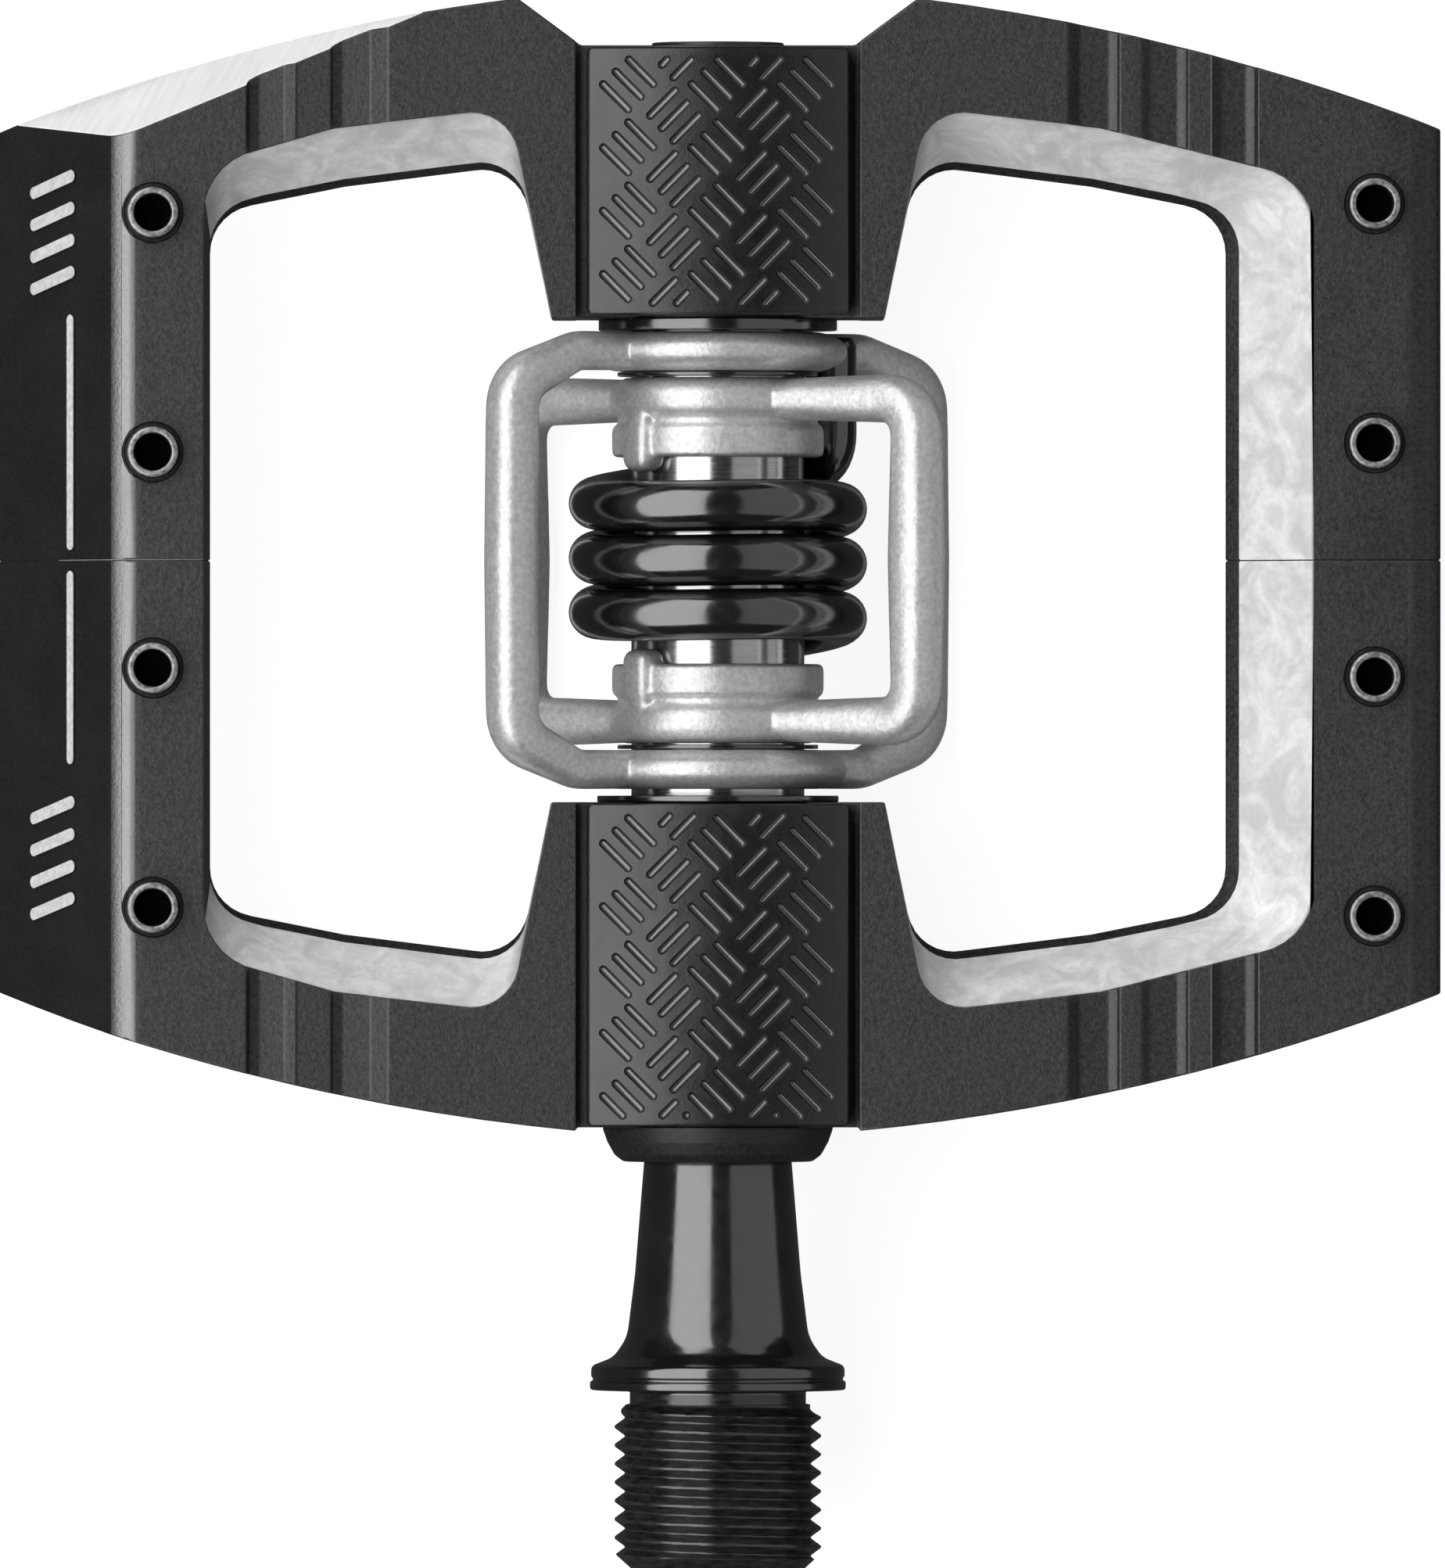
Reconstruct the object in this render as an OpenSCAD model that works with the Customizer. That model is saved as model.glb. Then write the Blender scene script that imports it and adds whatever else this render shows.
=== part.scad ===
// Clipless platform pedal, left-hand side of the bicycle.
// The origin is on the spindle axis at the shoulder that meets the crank.
// +Y runs outboard along the spindle, +Z is the normal of the platform and X runs fore and aft.
// The platform turns into itself when it is turned half a turn about the spindle.

/* [Spindle] */
// Distance from the crank shoulder to the middle of the platform
q_offset = 57; // [56:0.5:60]
// Crest radius of the crank thread
thread_r = 7.1; // [7.0:0.02:7.14]
// Depth of the crank thread
thread_depth = 0.69; // [0.4:0.01:0.75]
// Pitch of the crank thread
thread_pitch = 1.27; // [1:0.01:1.5]
// Number of full thread crests
thread_crests = 8; // [5:1:8]
// Length of the threaded end below the shoulder
thread_end = 12.7; // [12.5:0.1:14]
// Width across flats of the key socket in the threaded end
key_width = 8; // [6:1:8]
// Depth of the key socket
key_depth = 9; // [5:0.5:12]
// Radius of the shoulder flange
flange_r = 8.8; // [8:0.1:9.5]
// Spindle radius in the glide bushing
journal_r = 4.9; // [4.7:0.05:5]
// Spindle radius inside the wing sleeve
core_r = 4.2; // [3.8:0.1:4.3]
// Spindle radius in the cartridge bearing
bearing_seat_r = 3; // [2.8:0.1:3.2]
// Radius of the thread for the spindle nut
nut_thread_r = 2.5; // [2:0.1:2.7]

/* [Platform] */
// Half the thickness of the platform
half_thick = 7; // [6.5:0.5:8]
// Distance from the spindle to the front and rear tips
tip_x = 49.6; // [48:0.2:52]
// Height of the tips above the middle plane
tip_z = 5; // [4:0.5:6]
// Distance from the spindle to the far edge of each slanted end panel
panel_x = 41; // [40.5:0.5:42]
// Radius of the rounded edge between a slanted end panel and the face above it
panel_edge_r = 3; // [1:0.5:4]
// Radius of the curved outboard and inboard edges
edge_arc_r = 150; // [140:5:160]
// Distance from the middle line to the outboard edge, at the spindle
outboard_y = 39.6; // [39:0.1:40.5]
// Distance from the middle line to the inboard edge, at the spindle
inboard_y = 39.8; // [39:0.1:40.5]
// Sideways shift of the two arcs that meet at the middle of each edge
edge_arc_shift = 4.5; // [3:0.5:6]
// Outboard face of the hub between the arms
hub_out_y = 35.3; // [35:0.1:35.6]
// Inboard face of the hub between the arms
hub_in_y = 38.9; // [38.5:0.1:39]
// Half the gap between the two halves of the hub
hub_gap_y = 16.6; // [16.5:0.1:16.7]
// Outer radius of the hub tube under the pads
hub_r = 7.3; // [7.1:0.1:7.5]
// Half the width of the channel that holds a pad
channel_x = 9.7; // [9.5:0.1:10]
// Half the thickness of the web beside the hub tube
web_z = 5.6; // [5:0.1:6]

/* [Bright edge cut] */
// Angle of the cut's top line from the X axis
cut_line_angle = 22.3; // [20:0.1:25]
// Slope of the cut below the top face
cut_slope = 70; // [60:1:75]

/* [Fasteners and pins] */
// Outer radius of a traction pin
pin_r = 1.75; // [1.5:0.05:1.8]
// Radius of the hollow in a traction pin
pin_hollow_r = 1.35; // [1.1:0.05:1.4]
// Height of a traction pin above the platform
pin_proud = 1.6; // [1:0.1:2.5]
// Depth of a traction pin in the platform
pin_depth = 3.6; // [3:0.1:3.6]
// Distance from the spindle to the long bolts
bolt_x = 41.3; // [41:0.1:41.5]
// Shank radius of the long bolts
bolt_r = 1.5; // [1.25:0.05:1.5]
// Head radius of the long bolts
bolt_head_r = 2.75; // [2.5:0.05:2.75]

/* [Pads] */
// Half the width of a traction pad
pad_x = 9; // [8.6:0.1:9.3]
// Height of the middle of a pad above the middle plane
pad_z = 9; // [8.6:0.1:9.6]
// Radius of the crowned top of a pad
pad_crown_r = 35; // [25:1:60]

/* [Wings and spring] */
// Outer radius of the polished sleeve that the wings turn on
sleeve_r = 5.95; // [5.7:0.05:5.95]
// Inner radius of the sleeve
sleeve_bore_r = 4.6; // [4.5:0.05:4.8]
// Running clearance between a wing and the sleeve
wing_clearance = 0.08; // [0.04:0.01:0.1]
// Radius of a wing bar
wing_bar_r = 1.85; // [1.6:0.05:1.9]
// Height of the bars above the middle plane
bar_z = 10.5; // [10:0.1:11]
// Distance of the outer wing's bars from the spindle plane
outer_bar_x = 14.1; // [13.8:0.1:14.5]
// Distance of the inner wing's bars from the spindle plane
inner_bar_x = 13.7; // [13.3:0.1:14]
// Radius of the spring's wire
wire_r = 1.7; // [1.5:0.05:1.72]
// Mean radius of the spring's coils
coil_r = 8.5; // [8.4:0.05:8.7]
// Number of coils
coils = 3; // [3:1:3]
// Rise of the spring for one coil
coil_pitch = 3.75; // [3.6:0.05:3.8]

/* [Hidden] */
$fn = 96;
hull_fn = 32;
past = 0.5;
shoulder_y = -q_offset;
seal_end_y = -41.3;
bushing_y = [-36.4, -26.4];
seal_y = [-37.9, -36.4];
bearing_y = [23.5, 28.5];
nut_y = [28.6, 32];
spindle_tip_y = 32.2;
bushing_r = 6.2;
bearing_r = 6.5;
race_r = [4, 5.5];
ball_r = 1.15;
ball_track_r = 4.75;
ball_count = 9;
cap_y = 32.7;
cap_bump_y = 35.6;
cap_bump_r = 4.7;
sleeve_end_y = 20;
shim_bore_r = sleeve_r + 0.05;
outer_ring_y = [13, 15.7];
inner_ring_y = [9.7, 12.6];
collar_y = [7.1, 9.7];
// Washers that keep the rings of the two wings apart
washer_r = 6.9;
washer_y = [12.65, 12.95];
lug_y = 6.05;
lug_wide = 2.6;
front_lug_r = 7.85;
front_lug_angle = 140;
back_lug_angle = -49;
outer_ring_r = 8.9;
inner_ring_r = 7.5;
collar_r = 7.28;
corner_slope_y = 12.4;
arm_thick = 3;
wing_bore_r = sleeve_r + wing_clearance;
// The spring's legs, as radius, angles about the spindle and reach along it
leg_r = 9.3;
leg_bend_r = 2.2;
leg_blend = 60;
low_leg_angle = -68.5;
high_leg_angle = -33;
low_leg_y = 9.2;
high_leg_y = 15.4;
coil_steps = 76;
// How far each coil sways along the spindle, so that it runs level on the upper face
coil_sway = 0.73;
pin_recess_r = pin_r + 0.3;
pin_recess_z = 0.35;
bolt_head_y = [-29.2, -26.2];
bolt_end_y = 24;
// Places of the pins on the upper face, as front to back and across
PINS = [for (side = [-1, 1]) for (across = [7.4, 23.8])
    each [[-38.7, side * across], [45, side * (across + 0.6)]]];
// Grip grooves of the upper face, as the top and foot of the slope and the steep far side
GROOVES = [[-28.4, -29.7, -32.3], [-22.6, -23.8, -26.6], [24, 24.8, 27.6], [28.6, 29.6, 32.3],
    [33.4, 34.5, 37]];
// Ribs between the grooves, a little lower than the face
RIBS = [[-28.4, -26.6], [27.6, 28.6], [32.3, 33.4]];
groove_depth = 1;
// Depth of the upright lip above the sloping wall of a window
window_lip = 1.3;
rib_drop = 0.4;
// Centres and radii of the circles round the right window's upper edge, waist and lower edge
WINDOW_TOP = [[16.9, 27.4, 3.2], [25.6, 26.4, 3.2], [36.3, 22.4, 4.5], [11.6, 16.3, 0.2]];
WINDOW_WAIST = [[16.2, 23.6, 3.2], [25, 22.5, 3.2], [31.5, 21, 3.4], [11.6, 16.3, 0.2]];
WINDOW_LOW = [[16.9, 27.4, 3.2], [25.6, 26.4, 3.2], [30.7, 23.6, 4.5], [11.6, 16.3, 0.2]];

// ---- Helpers ----

// Moves a shape that is drawn round the middle of the platform to its place on the spindle
module on_platform() {
    translate([0, q_offset, 0]) children();
}

// Turns a shape half a turn about the spindle, from the upper to the lower face
module half_turn() {
    rotate([0, 180, 0]) children();
}

// A solid turned about the spindle from points given as radius and place along the spindle
module turned(points) {
    rotate([-90, 0, 0]) rotate_extrude() polygon(points);
}

// A rod along the spindle direction
module rod(r, y, x = 0, z = 0) {
    translate([x, y[0], z]) rotate([-90, 0, 0]) cylinder(h = y[1] - y[0], r = r);
}

// A ring about the spindle
module ring(r_out, r_in, y) {
    turned([[r_in, y[0]], [r_out, y[0]], [r_out, y[1]], [r_in, y[1]]]);
}

// A torus about the spindle
module torus(r, thick, y) {
    translate([0, y, 0]) rotate([-90, 0, 0]) rotate_extrude() translate([r, 0]) circle(r = thick);
}

// ---- Spindle and bearings ----

// One thread crest as radius and place below the shoulder
function crest(y) = let (root = thread_r - thread_depth, flank = thread_depth * tan(30),
    flat = thread_pitch / 16) [
    [root, y - flat - flank],
    [thread_r, y - flat],
    [thread_r, y + flat],
    [root, y + flat + flank]];

module spindle() {
    end_y = shoulder_y - thread_end;
    first_crest = shoulder_y - 1.9;
    root = thread_r - thread_depth;
    color("#1a1a1c") on_platform() difference() {
        turned(concat(
            [[0, end_y], [root - 0.8, end_y], [root, end_y + 0.8]],
            [for (i = [thread_crests - 1:-1:0]) each crest(first_crest - i * thread_pitch)],
            [[root, shoulder_y - 1.2], [root - 0.3, shoulder_y - 1], [root - 0.3, shoulder_y + 0.2],
            [thread_r + 0.1, shoulder_y + 0.2], [thread_r + 0.1, shoulder_y],
            [flange_r, shoulder_y], [flange_r, shoulder_y + 0.5], [flange_r - 0.45, shoulder_y + 0.75],
            [flange_r - 0.1, shoulder_y + 1], [flange_r - 0.1, shoulder_y + 1.75],
            [7.3, shoulder_y + 2.6], [6.4, shoulder_y + 3.4], [6, shoulder_y + 4.4],
            [journal_r + 0.1, seal_end_y], [journal_r, seal_end_y + 0.3], [journal_r, -25.6],
            [core_r, -25], [core_r, bearing_y[0]], [bearing_seat_r, bearing_y[0]],
            [bearing_seat_r, bearing_y[1]], [nut_thread_r, bearing_y[1]],
            [nut_thread_r, spindle_tip_y], [0, spindle_tip_y]]));
        translate([0, end_y - past, 0]) rotate([-90, 0, 0])
            cylinder(h = key_depth + past, r = key_width / 2 / cos(30), $fn = 6);
    }
}

module spindle_nut() {
    color("silver") on_platform() difference() {
        translate([0, nut_y[0], 0]) rotate([-90, 0, 0])
            cylinder(h = nut_y[1] - nut_y[0], r = 4.6, $fn = 6);
        rod(nut_thread_r, [nut_y[0] - past, nut_y[1] + past]);
    }
}

module ball_track() {
    torus(ball_track_r, ball_r + 0.05, (bearing_y[0] + bearing_y[1]) / 2);
}

module balls(r) {
    for (i = [0:ball_count - 1]) rotate([0, i * 360 / ball_count, 0])
        translate([ball_track_r, (bearing_y[0] + bearing_y[1]) / 2, 0]) sphere(r = r, $fn = 48);
}

module bearing_inner_race() {
    color("silver") on_platform() difference() {
        ring(race_r[0], bearing_seat_r, bearing_y);
        ball_track();
    }
}

module bearing_outer_race() {
    color("silver") on_platform() difference() {
        ring(bearing_r, race_r[1], bearing_y);
        ball_track();
    }
}

module bearing_balls() {
    color("silver") on_platform() balls(ball_r);
}

module ball_cage() {
    middle_y = (bearing_y[0] + bearing_y[1]) / 2;
    color("tan") on_platform() difference() {
        ring(5.15, 4.35, [middle_y - 0.9, middle_y + 0.9]);
        balls(ball_r + 0.05);
    }
}

module bearing_shields() {
    color("#303030") on_platform() for (y = [bearing_y[0] + 0.15, bearing_y[1] - 0.45])
        ring(race_r[1], race_r[0] + 0.1, [y, y + 0.3]);
}

module glide_bushing() {
    color("#c8b070") on_platform() ring(bushing_r, journal_r + 0.05, bushing_y);
}

module inboard_seal() {
    color("#282828") on_platform() ring(bushing_r, journal_r + 0.08, seal_y);
}

module seal_cup() {
    color("#202020") on_platform() turned([[journal_r + 0.25, seal_end_y], [6.3, seal_end_y],
        [6.9, seal_end_y + 0.3], [7.4, seal_end_y + 0.9], [7.75, -hub_in_y - 0.8],
        [7.9, -hub_in_y - 0.3], [7.9, -hub_in_y], [bushing_r, -hub_in_y], [bushing_r, seal_y[0]],
        [journal_r + 0.25, seal_y[0]]]);
}

module hub_sleeve() {
    color("silver") on_platform() ring(sleeve_r, sleeve_bore_r, [-sleeve_end_y, sleeve_end_y]);
}

// ---- Platform ----

// Solid bounded by the arcs of the outboard and inboard edges
module edge_arcs() {
    intersection() {
        edge_arc(-edge_arc_shift, outboard_y - edge_arc_r);
        edge_arc(edge_arc_shift, outboard_y - edge_arc_r);
        edge_arc(-edge_arc_shift, edge_arc_r - inboard_y);
        edge_arc(edge_arc_shift, edge_arc_r - inboard_y);
    }
}

module edge_arc(x, y) {
    translate([x, y, -half_thick - 1])
        cylinder(h = 2 * half_thick + 2, r = edge_arc_r, $fn = 360);
}

// Side profile of the platform, a parallelogram with blunt tips
module side_profile() {
    slope = atan2(tip_z + half_thick, tip_x - panel_x);
    edge_x = panel_x - panel_edge_r * tan(slope / 2);
    edge_z = panel_edge_r - half_thick;
    points = concat(
        [for (k = [0:6]) let (a = k * slope / 6 - 90)
            [edge_x + panel_edge_r * cos(a), edge_z + panel_edge_r * sin(a)]],
        [[tip_x, tip_z], [tip_x - 0.3, tip_z + 0.9], [tip_x - 1, half_thick - 0.5],
        [tip_x - 2.3, half_thick]]);
    rotate([90, 0, 0]) linear_extrude(height = 100, center = true)
        polygon(concat(points, -points));
}

// Upper or lower part of the right window, between two rows of circles
module window_part(low, low_z, high, high_z) {
    hull() for (side = [-1, 1]) {
        for (c = low) translate([c[0], side * c[1], low_z[0]])
            cylinder(h = low_z[1], r = c[2], $fn = hull_fn);
        for (c = high) translate([c[0], side * c[1], high_z[0]])
            cylinder(h = high_z[1], r = c[2], $fn = hull_fn);
    }
}

module right_window() {
    window_part(WINDOW_LOW, [-half_thick - past, window_lip + past], WINDOW_WAIST, [-0.05, 0.05]);
    window_part(WINDOW_WAIST, [-0.05, 0.1], WINDOW_TOP, [half_thick - window_lip, window_lip + past]);
}

module windows() {
    right_window();
    half_turn() right_window();
    cube([24, 2 * hub_gap_y, 30], center = true);
}

module groove(slope_top, slope_foot, far) {
    way = sign(far - slope_top);
    polygon([[slope_top, past], [slope_top, 0], [slope_foot, -groove_depth * 0.85],
        [far - way * 0.8, -groove_depth], [far - way * 0.15, -groove_depth * 0.7], [far, 0],
        [far, past]]);
}

module grooves() {
    translate([0, 0, half_thick]) rotate([90, 0, 0]) linear_extrude(height = 100, center = true) {
        for (g = GROOVES) groove(g[0], g[1], g[2]);
        for (r = RIBS) translate([r[0] - past, -rib_drop]) square([r[1] - r[0] + 2 * past, 1]);
    }
}

module pin_holes() {
    for (p = PINS) translate([p[0], p[1], half_thick - pin_depth]) {
        cylinder(h = pin_depth + past, r = pin_r, $fn = 48);
        translate([0, 0, pin_depth - pin_recess_z]) cylinder(h = 1, r = pin_recess_r, $fn = 48);
    }
}

// Everything that is cut from the upper face, in half_turn() from the lower face
module face_cuts() {
    grooves();
    pin_holes();
}

// Channels for the pads, beside and above the hub tube
module pad_channel() {
    translate([-channel_x, -60, web_z]) cube([2 * channel_x, 120, 10]);
}

// Bright slanting cut along the front outboard edge
module bright_cut() {
    translate([-panel_x, 29, half_thick]) rotate([0, 0, cut_line_angle])
        rotate([-cut_slope, 0, 0]) translate([-40, -20, 0]) cube([80, 60, 40]);
}

module bolt_holes() {
    for (x = [-bolt_x, bolt_x]) {
        rod(bolt_r + 0.05, [bolt_head_y[1] - 1, bolt_end_y + 1], x);
        rod(bolt_head_r + 0.1, [-60, bolt_head_y[1]], x);
    }
}

// The whole platform as one piece, before it is split and bored
module platform() {
    difference() {
        union() {
            difference() {
                intersection() {
                    edge_arcs();
                    side_profile();
                }
                pad_channel();
                half_turn() pad_channel();
            }
            rod(hub_r, [-hub_in_y, hub_out_y]);
        }
        windows();
        face_cuts();
        half_turn() face_cuts();
        bolt_holes();
        translate([-channel_x, -60 - hub_in_y, -20]) cube([2 * channel_x, 60, 40]);
    }
}

// Notch between the arms at the outboard edge
module outboard_notch() {
    translate([0, 0, -20]) linear_extrude(height = 40)
        polygon([[-14.8, 45], [-14.8, 39.3], [-9.4, hub_out_y], [9.4, hub_out_y], [14.8, 39.3],
            [14.8, 45]]);
}

module cage_outboard() {
    color("#3a3a3c") on_platform() difference() {
        intersection() {
            platform();
            translate([-60, 0, -20]) cube([120, 60, 40]);
        }
        outboard_notch();
        bright_cut();
        half_turn() bright_cut();
        rod(sleeve_r, [hub_gap_y - past, sleeve_end_y]);
        rod(sleeve_bore_r, [hub_gap_y - past, bearing_y[0] + past]);
        rod(bearing_r, [bearing_y[0], 60]);
    }
}

module cage_inboard() {
    color("#3a3a3c") on_platform() difference() {
        intersection() {
            platform();
            translate([-60, -60, -20]) cube([120, 60, 40]);
        }
        rod(sleeve_r, [-sleeve_end_y, -hub_gap_y + past]);
        rod(journal_r + 0.15, [-60, -hub_gap_y + past]);
        rod(bushing_r, [-60, bushing_y[1]]);
    }
}

// ---- Pads, pins and bolts ----

module pad(y) {
    difference() {
        intersection() {
            translate([-pad_x, y[0], web_z]) cube([2 * pad_x, y[1] - y[0], pad_z - web_z + 1]);
            rod(pad_crown_r, [y[0] - 1, y[1] + 1], 0, pad_z - pad_crown_r);
        }
        rod(hub_r, [y[0] - 1, y[1] + 1]);
    }
}

module outboard_pad() {
    pad([hub_gap_y + 0.2, hub_out_y - 0.2]);
}

module inboard_pad() {
    pad([-hub_in_y + 0.1, -hub_gap_y - 0.1]);
}

module pad_top_outboard() {
    color("#2b2b2d") on_platform() outboard_pad();
}

module pad_top_inboard() {
    color("#2b2b2d") on_platform() inboard_pad();
}

module pad_bottom_outboard() {
    color("#2b2b2d") on_platform() half_turn() outboard_pad();
}

module pad_bottom_inboard() {
    color("#2b2b2d") on_platform() half_turn() inboard_pad();
}

module pins() {
    for (p = PINS) translate([p[0], p[1], half_thick - pin_depth]) difference() {
        cylinder(h = pin_depth + pin_proud, r = pin_r, $fn = 48);
        translate([0, 0, 1]) cylinder(h = pin_depth + pin_proud, r = pin_hollow_r, $fn = 48);
    }
}

module pins_top() {
    color("#101010") on_platform() pins();
}

module pins_bottom() {
    color("#101010") on_platform() half_turn() pins();
}

module cage_bolts() {
    color("#202020") on_platform() for (x = [-bolt_x, bolt_x]) difference() {
        union() {
            rod(bolt_r, [bolt_head_y[1] - 1, bolt_end_y], x);
            rod(bolt_head_r, bolt_head_y, x);
        }
        translate([x, bolt_head_y[0] - 0.4, 0]) rotate([-90, 0, 0])
            cylinder(h = 2, r = 1.44, $fn = 6);
    }
}

module end_cap() {
    color("#202020") on_platform() turned([[0, cap_y], [bearing_r - 0.05, cap_y],
        [bearing_r - 0.05, cap_y + 0.7], [5.5, cap_y + 0.7], [5.5, cap_y + 1.7],
        [bearing_r - 0.05, cap_y + 1.7], [bearing_r - 0.05, hub_out_y - 0.1],
        [cap_bump_r, hub_out_y - 0.1], [cap_bump_r - 0.2, cap_bump_y], [0, cap_bump_y]]);
}

module end_cap_ring() {
    color("#101010") on_platform() torus(5.98, 0.45, cap_y + 1.2);
}

module shim_outboard() {
    color("#181818") on_platform() ring(8.2, shim_bore_r, [outer_ring_y[1] + 0.1, hub_gap_y]);
}

module shim_inboard() {
    color("#181818") on_platform() ring(8.3, shim_bore_r, [-hub_gap_y, -hub_gap_y + 0.45]);
}

module wing_washer_outboard() {
    color("#202020") on_platform() ring(washer_r, shim_bore_r, washer_y);
}

module wing_washer_inboard() {
    color("#202020") on_platform() ring(washer_r, shim_bore_r, -[washer_y[1], washer_y[0]]);
}

// ---- Wings ----

// One flat arm, drawn as distance from the spindle and place along it, turned to its bar
module wing_arm(x, z, points) {
    rotate([0, -atan2(z, x), 0]) linear_extrude(height = arm_thick, center = true) polygon(points);
}

// Both rings, the four arms and the two bars of a wing, before the bore is cut
module wing_frame(x, ring_y, ring_r, bar_end, arm_points) {
    for (side = [0, 1]) mirror([0, side, 0]) {
        rod(ring_r, ring_y);
        wing_arm(x, bar_z, arm_points);
        wing_arm(-x, -bar_z, arm_points);
    }
    rod(wing_bar_r, [-bar_end, bar_end], x, bar_z);
    rod(wing_bar_r, [-bar_end, bar_end], -x, -bar_z);
}

module outer_wing() {
    reach = norm([outer_bar_x, bar_z]);
    arm_points = [[outer_ring_r - 2, outer_ring_y[0] + 0.1], [outer_ring_r + 2.6, outer_ring_y[0] + 0.1],
        [reach - wing_bar_r, 11.3], [reach - wing_bar_r, 9.9], [reach + wing_bar_r - 0.3, 9.9],
        [reach + wing_bar_r - 0.3, corner_slope_y - 0.2], [reach - 0.6, corner_slope_y + 1.4],
        [outer_ring_r + 3.4, outer_ring_y[1] - 0.1], [outer_ring_r - 2, outer_ring_y[1] - 0.1]];
    color("#a9aaac") on_platform() difference() {
        wing_frame(-outer_bar_x, outer_ring_y, outer_ring_r, corner_slope_y - 0.5, arm_points);
        rod(wing_bore_r, [-30, 30]);
        spring_hook_hole();
    }
}

module inner_wing() {
    reach = norm([inner_bar_x, bar_z]);
    start = [inner_ring_r - 0.7, inner_ring_y[0] + 0.1];
    far_y = inner_ring_y[1] - 0.1;
    arm_points = [start, [reach - wing_bar_r - 0.6, start[1]], [reach - wing_bar_r, start[1] - 0.6],
        [reach + wing_bar_r - 0.3, start[1] - 0.6], [reach + wing_bar_r - 0.3, far_y - 1.3],
        [reach + 0.2, far_y], [start[0], far_y]];
    color("#a9aaac") on_platform() difference() {
        union() {
            wing_frame(inner_bar_x, inner_ring_y, inner_ring_r, inner_ring_y[1] - 0.8, arm_points);
            for (side = [0, 1]) mirror([0, side, 0]) rod(collar_r, [collar_y[0], collar_y[1] + past]);
            wing_lugs();
        }
        rod(wing_bore_r, [-30, 30]);
    }
}

// Lugs that the ends of the spring bear on
module wing_lugs() {
    for (side = [0, 1]) mirror([0, side, 0]) wing_lug(front_lug_angle, lug_y, front_lug_r);
    mirror([0, 1, 0]) wing_lug(back_lug_angle, collar_y[0], leg_r + 0.3);
}

module wing_lug(angle, from_y, r) {
    rotate([0, -angle, 0]) translate([sleeve_r, from_y, -lug_wide / 2])
        cube([r - sleeve_r, inner_ring_y[0] - from_y + past, lug_wide]);
}

// ---- Spring ----

// Middle line of the coils at an angle about the spindle, 90 being the upper face
function coil_point(a) = let (
    from_low = (a - low_leg_angle) / leg_blend,
    from_high = (high_leg_angle + 360 * coils - a) / leg_blend,
    r = coil_r + (leg_r - coil_r) * max(0, 1 - min(from_low, from_high)),
    y = coil_pitch * (a - 90 - 360 * (coils - 1) / 2) / 360 + coil_sway * cos(a))
    [r * cos(a), y, r * sin(a)];

// A quarter bend from the coil into a leg that runs along the spindle, outboard or inboard
function bend(a, way) = [for (u = [15:15:90]) let (
    turn = a + way * leg_bend_r * sin(u) / leg_r * 180 / PI,
    y = coil_point(a)[1] + way * leg_bend_r * (1 - cos(u)))
    [leg_r * cos(turn), y, leg_r * sin(turn)]];

function leg_end(a, y) = [leg_r * cos(a), y, leg_r * sin(a)];

// Hole in the outer wing that the outboard leg hooks into
module spring_hook_hole() {
    rod(wire_r + 0.1, [outer_ring_y[0] - past, outer_ring_y[1] + past], leg_r * cos(high_leg_angle),
        leg_r * sin(high_leg_angle));
}

function flipped(list) = [for (i = [len(list) - 1:-1:0]) list[i]];

// A round tube through points, closed at both ends
module tube_along(points, r, sides) {
    count = len(points);
    rings = [for (i = [0:count - 1]) let (
        ahead = points[min(i + 1, count - 1)],
        back = points[max(i - 1, 0)],
        along = (ahead - back) / norm(ahead - back),
        outward = [points[i][0], 0, points[i][2]],
        side_a = cross(along, outward) / norm(cross(along, outward)),
        side_b = cross(along, side_a))
        each [for (k = [0:sides - 1]) let (a = k * 360 / sides)
            points[i] + r * (cos(a) * side_a + sin(a) * side_b)]];
    walls = [for (i = [0:count - 2]) for (k = [0:sides - 1]) let (
        here = i * sides + k,
        beside = i * sides + (k + 1) % sides)
        each [[here, here + sides, beside + sides], [here, beside + sides, beside]]];
    last = (count - 1) * sides;
    low_end = [for (k = [1:sides - 2]) [0, k, k + 1]];
    high_end = [for (k = [1:sides - 2]) [last, last + k + 1, last + k]];
    polyhedron(rings, concat(low_end, walls, high_end));
}

module wing_spring() {
    bend_turn = leg_bend_r / leg_r * 180 / PI;
    start = low_leg_angle + bend_turn;
    end = high_leg_angle + 360 * coils - bend_turn;
    coil = [for (i = [0:coil_steps]) coil_point(start + (end - start) * i / coil_steps)];
    points = concat([leg_end(low_leg_angle, -low_leg_y)], flipped(bend(start, -1)), coil, bend(end, 1),
        [leg_end(high_leg_angle, high_leg_y)]);
    color("#080808") on_platform() tube_along(points, wire_r, 12);
}

// ---- Assembly ----

spindle();
spindle_nut();
bearing_inner_race();
bearing_outer_race();
bearing_balls();
ball_cage();
bearing_shields();
glide_bushing();
inboard_seal();
seal_cup();
hub_sleeve();
cage_outboard();
cage_inboard();
pad_top_outboard();
pad_top_inboard();
pad_bottom_outboard();
pad_bottom_inboard();
pins_top();
pins_bottom();
cage_bolts();
end_cap();
end_cap_ring();
shim_outboard();
shim_inboard();
wing_washer_outboard();
wing_washer_inboard();
outer_wing();
inner_wing();
wing_spring();
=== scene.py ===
"""Looks of the clipless pedal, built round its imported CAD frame.

Lengths in this script are millimetres in the frame of the CAD row, and become metres where a mesh is made.
Places along the spindle are measured from the middle of the platform.
"""

import math

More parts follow.
